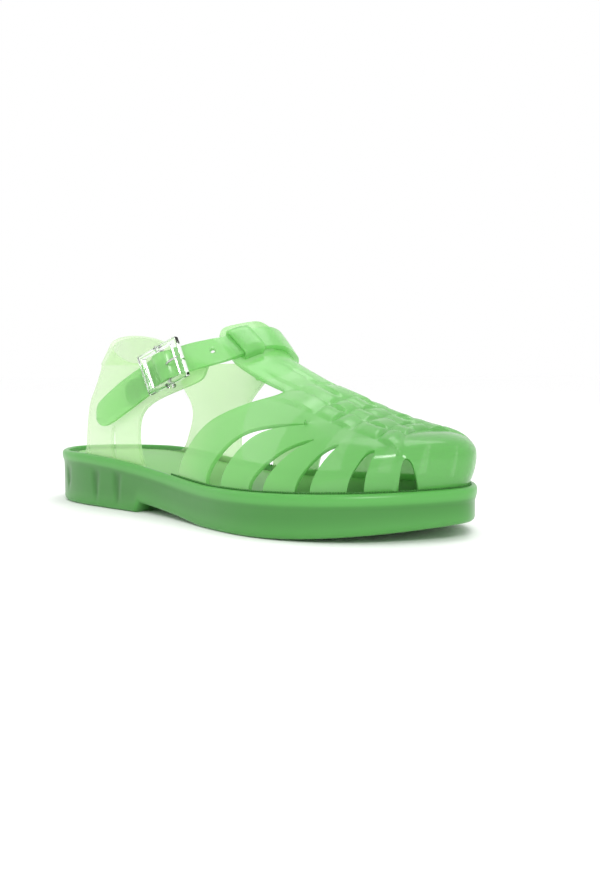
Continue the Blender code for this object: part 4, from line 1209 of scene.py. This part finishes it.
# %% the beads along the weld
BEAD_RADIUS = 0.00055
BEAD_PITCH = 0.0012
BEAD_START = 0.47
bm = bmesh.new()
first = place_at(-1, BEAD_START * SOLE_LENGTH, UPPER_INSET)
final = place_at(1, BEAD_START * SOLE_LENGTH, UPPER_INSET)
outline_step = float(np.linalg.norm(EDGE[1] - EDGE[0]))
bead_count = int((final - first) * outline_step / BEAD_PITCH)
for k in range(bead_count + 1):
    base = rim_point(first + (final - first) * k / bead_count, UPPER_INSET - BEAD_RADIUS)
    spot = Matrix.Translation((base[0], base[1], rim_height(base[0]) + BEAD_RADIUS / 2))
    bmesh.ops.create_icosphere(bm, subdivisions=1, radius=BEAD_RADIUS, matrix=spot)
beads = mesh_object("weld_beads", bm)
finish_piece(beads, sole_green, "sole_green", "outsole")
print(bead_count + 1, "beads")

# %% [markdown]
# The strap is a separate layer over the counter's outer tab, so it is its own sheet here: round
# at its free end, raised where it rides over the buckle's pin, and merged into the inner tab. One
# small round hole, the spare one, is cut through it.


# %% the ankle strap
STRAP_CELLS = 150
STATION_POWER = 1.15
STRAP_CROWN = 0.0003
FREE_END = ribbon_frame(0.0)[0]
TIP_HALF_WIDTH = 0.00001
LIFT_SHARES = (0.3, 0.55)
LIFT_FLAT = 0.001
LIFT_RAMP = 0.0055


def strap_distance(share):
    """Distance along the strap from its centre over the buckle's pin."""
    return (ribbon_frame(share)[0] - PIN_MATRIX.translation).dot(PIN_MATRIX.col[0].to_3d())


def strap_lift(share):
    """The strap rises over the buckle's pin and lies flat under the two bars."""
    if not LIFT_SHARES[0] < share < LIFT_SHARES[1]:
        return 0.0
    return PIN_LIFT * smooth(1 - (abs(strap_distance(share)) - LIFT_FLAT) / LIFT_RAMP)


def strap_corner(column, row):
    """Corner of the ribbon; the first cells follow the half circle of the free end."""
    share = (column / STRAP_CELLS) ** STATION_POWER
    centre, along, across, facing, width = ribbon_frame(share)
    reach = min(1.0, (centre - FREE_END).length / (width / 2))
    half = width / 2 * math.sqrt(max(0.0, 1 - (1 - reach) ** 2)) + TIP_HALF_WIDTH
    side = row / 3 - 1
    crown = STRAP_CROWN * (1 - side**2)
    return centre + across * half * side + facing * (strap_lift(share) + crown)


bm = bmesh.new()
place_patch(bm, STRAP_CELLS, 6, strap_corner)
bmesh.ops.recalc_face_normals(bm, faces=bm.faces)
strap = mesh_object("ankle_strap", bm)
give_wall(strap, STRAP_THICKNESS, 0)
soften(strap, 0.0006, 3, 50)


def cylinder(name, radius, start, end, matrix, segments=32):
    """A cylinder between two points of a local frame."""
    bm = bmesh.new()
    axis = Vector(end) - Vector(start)
    bmesh.ops.create_cone(
        bm, cap_ends=True, segments=segments, radius1=radius, radius2=radius, depth=axis.length
    )
    turn = axis.to_track_quat("Z", "Y").to_matrix().to_4x4()
    middle = Matrix.Translation((Vector(start) + Vector(end)) / 2)
    bmesh.ops.transform(bm, matrix=matrix @ middle @ turn, verts=bm.verts)
    bmesh.ops.recalc_face_normals(bm, faces=bm.faces)
    return mesh_object(name, bm)


def cut(obj, tool):
    """Cuts a tool out of a piece, applies the cut and removes the tool."""
    step = obj.modifiers.new("cut", "BOOLEAN")
    step.operation = "DIFFERENCE"
    step.solver = "EXACT"
    step.object = tool
    applied(obj)
    bpy.data.objects.remove(tool)


HOLE_REACH = 0.004
ends = ((0, 0, -HOLE_REACH), (0, 0, HOLE_REACH))
cut(strap, cylinder("spare_hole", HOLE_RADIUS, *ends, frame_matrix(SPARE_HOLE_SHARE)))
strap.data.polygons.foreach_set("use_smooth", [True] * len(strap.data.polygons))
finish_piece(strap, strap_green, "upper_green", "upper")

# %% [markdown]
# The keeper is the fold at the top of the T-bar: a tongue of the same plastic that comes round
# the front of the strap and goes back behind it. Its section is a flat loop with round ends, swept
# along the strap for less than the width of the T-bar, a little narrower in front.

# %% the keeper
KEEPER_SECTION = 32
KEEPER_ROWS = 8
KEEPER_WIDTH = 0.0110
KEEPER_POWER = 0.42
KEEPER_SWELL = 0.0006


def keeper_corner(column, row):
    """Corner of the keeper: columns run round the strap and rows run along it."""
    spread = (row / KEEPER_ROWS - 0.5) * KEEPER_WIDTH
    centre, along, across, facing, width = ribbon_frame(KEEPER_PLACE + spread / STRAP_RUN)
    turn = 2 * math.pi * (column % KEEPER_SECTION) / KEEPER_SECTION
    across_share = math.copysign(abs(math.cos(turn)) ** KEEPER_POWER, math.cos(turn))
    out_share = math.copysign(abs(math.sin(turn)) ** KEEPER_POWER, math.sin(turn))
    swell = KEEPER_SWELL * math.sin(math.pi * row / KEEPER_ROWS) * max(0.0, math.sin(turn))
    point = centre + across * LOOP_HALF_WIDTH * across_share
    return point + facing * (LOOP_HALF_DEPTH * out_share + swell)


bm = bmesh.new()
place_patch(bm, KEEPER_SECTION, KEEPER_ROWS, keeper_corner)
clean_patches(bm)
keeper = mesh_object("keeper_loop", bm)
give_wall(keeper, WALL, 0)
soften(keeper, 0.0006, 3, 50)
finish_piece(keeper, strap_green, "upper_green", "upper")

# %% [markdown]
# The buckle is a clear moulded frame on a short tab of vinyl. The frame is a flat grid with its
# middle cell left out, thickened and rounded, with a pin across it. The prong is a bent wire, so
# it is a curve with a round bevel. The tab is riveted to the outer leg by a disc that shows
# through the strap as a darker spot.

# %% the buckle frame
HALF = BUCKLE_WIDTH / 2
UNDER = STRAP_THICKNESS / 2 + BAR_CLEARANCE
BUCKLE_BACK = -BUCKLE_LENGTH * 0.46
BUCKLE_FRONT = BUCKLE_BACK + BUCKLE_LENGTH
BACK_BAR = BUCKLE_END_BAR * 0.8
FRONT_BAR = BUCKLE_END_BAR * 1.1
FRAME_ALONG = (BUCKLE_BACK, BUCKLE_BACK + BACK_BAR, BUCKLE_FRONT - FRONT_BAR, BUCKLE_FRONT)
LUG_RADIUS = 0.0012
LUG_PLACE = HALF - 0.0003
LUG_TOP = UNDER + 0.0012
LUG_FOOT = PIN_DEPTH - 0.0008
FRAME_ACROSS = (-HALF, BUCKLE_SIDE_BAR - HALF, HALF - BUCKLE_SIDE_BAR, HALF)


def buckle_corner(column, row):
    """Corner of the flat frame, in the strap's own frame over the pin."""
    return PIN_MATRIX @ Vector((FRAME_ALONG[column], FRAME_ACROSS[row], UNDER + BUCKLE_THICKNESS))


bm = bmesh.new()
place_patch(bm, 3, 3, buckle_corner, lambda column, row: column == 1 and row == 1)
turn_towards(bm, PIN_MATRIX.col[2].to_3d())
buckle = mesh_object("buckle_frame_clear", bm)
give_wall(buckle, BUCKLE_THICKNESS, -1)
soften(buckle, 0.0007, 3)
applied(buckle)
buckle.data.polygons.foreach_set("use_smooth", [False] * len(buckle.data.polygons))
finish_piece(buckle, clear_plastic, "clear_plastic", "buckle_frame")
for side in (-1, 1):
    ends = ((0, side * LUG_PLACE, LUG_TOP), (0, side * LUG_PLACE, LUG_FOOT))
    lug = cylinder(f"buckle_lug_{'low' if side < 0 else 'high'}", LUG_RADIUS, *ends, PIN_MATRIX)
    finish_piece(lug, clear_plastic, "clear_plastic", "buckle_frame")
pin = cylinder("buckle_pin", PIN_RADIUS, (0, -HALF, PIN_DEPTH), (0, HALF, PIN_DEPTH), PIN_MATRIX)
finish_piece(pin, prong_metal, "clear_plastic", "buckle_frame")

# %% the prong
PRONG_HEEL = 0.0010
radius = PIN_RADIUS + GAP + PRONG_RADIUS
prong_points = []
for k in range(11):
    turn = math.radians(-40 - 20 * k)
    prong_points.append(Vector((radius * math.cos(turn), 0, PIN_DEPTH + radius * math.sin(turn))))
bar_top = UNDER + BUCKLE_THICKNESS + GAP + PRONG_RADIUS
start = prong_points[-1]
run = (bar_top - start.z) / math.tan(math.radians(PRONG_SLOPE))
for share in (0.55, 0.92):
    prong_points.append(Vector((start.x + run * share, 0, start.z + (bar_top - start.z) * share)))
prong_points.append(Vector((start.x + run + PRONG_HEEL, 0, bar_top)))
prong_points.append(Vector((BUCKLE_LENGTH * 0.50, 0, bar_top)))
curve = bpy.data.curves.new("prong_wire", "CURVE")
curve.dimensions = "3D"
curve.bevel_depth = PRONG_RADIUS
curve.bevel_resolution = 4
curve.use_fill_caps = True
spline = curve.splines.new("POLY")
spline.points.add(len(prong_points) - 1)
for made, point in zip(spline.points, prong_points):
    made.co = (*(PIN_MATRIX @ point), 1.0)
    made.radius = 1.0
spline.points[-1].radius = 0.6
prong = bpy.data.objects.new("prong_wire", curve)
bpy.context.scene.collection.objects.link(prong)
curve.transform(Matrix.Translation(-CENTRE))
curve.materials.append(prong_metal)
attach(prong, "root")
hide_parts("buckle_prong")
print("prong of", len(prong_points), "points")

# %% the buckle's tab and stud
TAB_TOP = -STRAP_THICKNESS / 2 - GAP
TAB_BOTTOM = TAB_TOP - ANCHOR_THICKNESS
TAB_CELLS = 12
STUD_HEAD_RADIUS = 0.0034


def tab_corner(column, row):
    """Corner of the tab that runs from the stud to the pin, under the strap."""
    share = STUD_SHARE + (PIN_SHARE - STUD_SHARE) * column / TAB_CELLS
    centre, along, across, facing, width = ribbon_frame(share)
    return centre + across * ANCHOR_HALF_WIDTH * (row / 2 - 1) + facing * TAB_TOP


bm = bmesh.new()
place_patch(bm, TAB_CELLS, 4, tab_corner)
turn_towards(bm, STUD_MATRIX.col[2].to_3d())
tab = mesh_object("buckle_tab", bm)
give_wall(tab, ANCHOR_THICKNESS, -1)
soften(tab, 0.0004)
finish_piece(tab, anchor_green, "anchor_green", "buckle_anchor")
ends = ((0, 0, TAB_BOTTOM), (0, 0, TAB_TOP))
disc = cylinder("stud_disc", STUD_RADIUS, *ends, STUD_MATRIX, 48)
soften(disc, 0.0005, 3)
finish_piece(disc, anchor_green, "anchor_green", "buckle_anchor")
inside_face = TAB_BOTTOM - WALL - 6 * GAP
ends = ((0, 0, inside_face), (0, 0, inside_face - STUD_HEIGHT))
head = cylinder("stud_head", STUD_HEAD_RADIUS, *ends, STUD_MATRIX)
soften(head, 0.0004)
finish_piece(head, anchor_green, "anchor_green", "buckle_anchor")

# %% [markdown]
# A sandal like this is photographed on a plain white ground in soft studio light. The floor is
# one large plane, the world is white, and two large area lights give the long soft highlights on
# the straps and the toe cap. The camera stands low, on the outer side in front, as in the photo.

# %% floor and lights
bpy.ops.mesh.primitive_plane_add(size=30.0, location=(0, 0, 0))
floor = bpy.context.object
floor.name = "studio_floor"
floor.data.materials.append(plain_material("studio_white", (1.0, 1.0, 1.0), 0.9))
world = bpy.data.worlds.new("studio")
world.use_nodes = True
world.node_tree.nodes["Background"].inputs["Color"].default_value = (1.0, 1.0, 1.0, 1.0)
world.node_tree.nodes["Background"].inputs["Strength"].default_value = 1.0
bpy.context.scene.world = world


def softbox(name, place, target, size, power):
    """A rectangular area light that faces its target."""
    light = bpy.data.lights.new(name, "AREA")
    light.shape = "RECTANGLE"
    light.size, light.size_y = size
    light.energy = power
    obj = bpy.data.objects.new(name, light)
    obj.location = place
    obj.rotation_euler = (Vector(target) - Vector(place)).to_track_quat("-Z", "Y").to_euler()
    bpy.context.scene.collection.objects.link(obj)


softbox("key_softbox", (0.55, -0.50, 0.45), (0.05, 0, 0.04), (0.30, 0.16), 2.4)
softbox("top_softbox", (0.0, 0.3, 1.0), (0, 0, 0.04), (0.6, 0.6), 2.6)
bpy.context.scene.view_settings.view_transform = "Standard"
print("floor, world and lights ready")

# %% camera
CAMERA_PLACE = Vector((0.343576, -0.332621, 0.06895))
CAMERA_YAW = math.radians(42.07)
CAMERA_ELEVATION = math.radians(3.94)
CAMERA_ROLL = math.radians(-0.40)
CAMERA_LENS = 57.88

level = math.cos(CAMERA_ELEVATION)
across = math.sin(CAMERA_YAW) * level
behind = -math.cos(CAMERA_YAW) * level
back = Vector((across, behind, math.sin(CAMERA_ELEVATION)))
right = (-back).cross(Vector((0, 0, 1))).normalized()
up = right.cross(-back)
turned_right = right * math.cos(CAMERA_ROLL) + up * math.sin(CAMERA_ROLL)
turned_up = -right * math.sin(CAMERA_ROLL) + up * math.cos(CAMERA_ROLL)
camera = bpy.data.objects.new("camera", bpy.data.cameras.new("camera"))
camera.data.sensor_fit = "HORIZONTAL"
camera.data.sensor_width = 36.0
camera.data.lens = CAMERA_LENS
camera.data.clip_start = 0.01
placed = Matrix((turned_right, turned_up, back)).transposed().to_4x4()
placed.translation = CAMERA_PLACE
camera.matrix_world = placed
bpy.context.scene.collection.objects.link(camera)
bpy.context.scene.camera = camera
print("camera at", [round(v, 3) for v in CAMERA_PLACE])
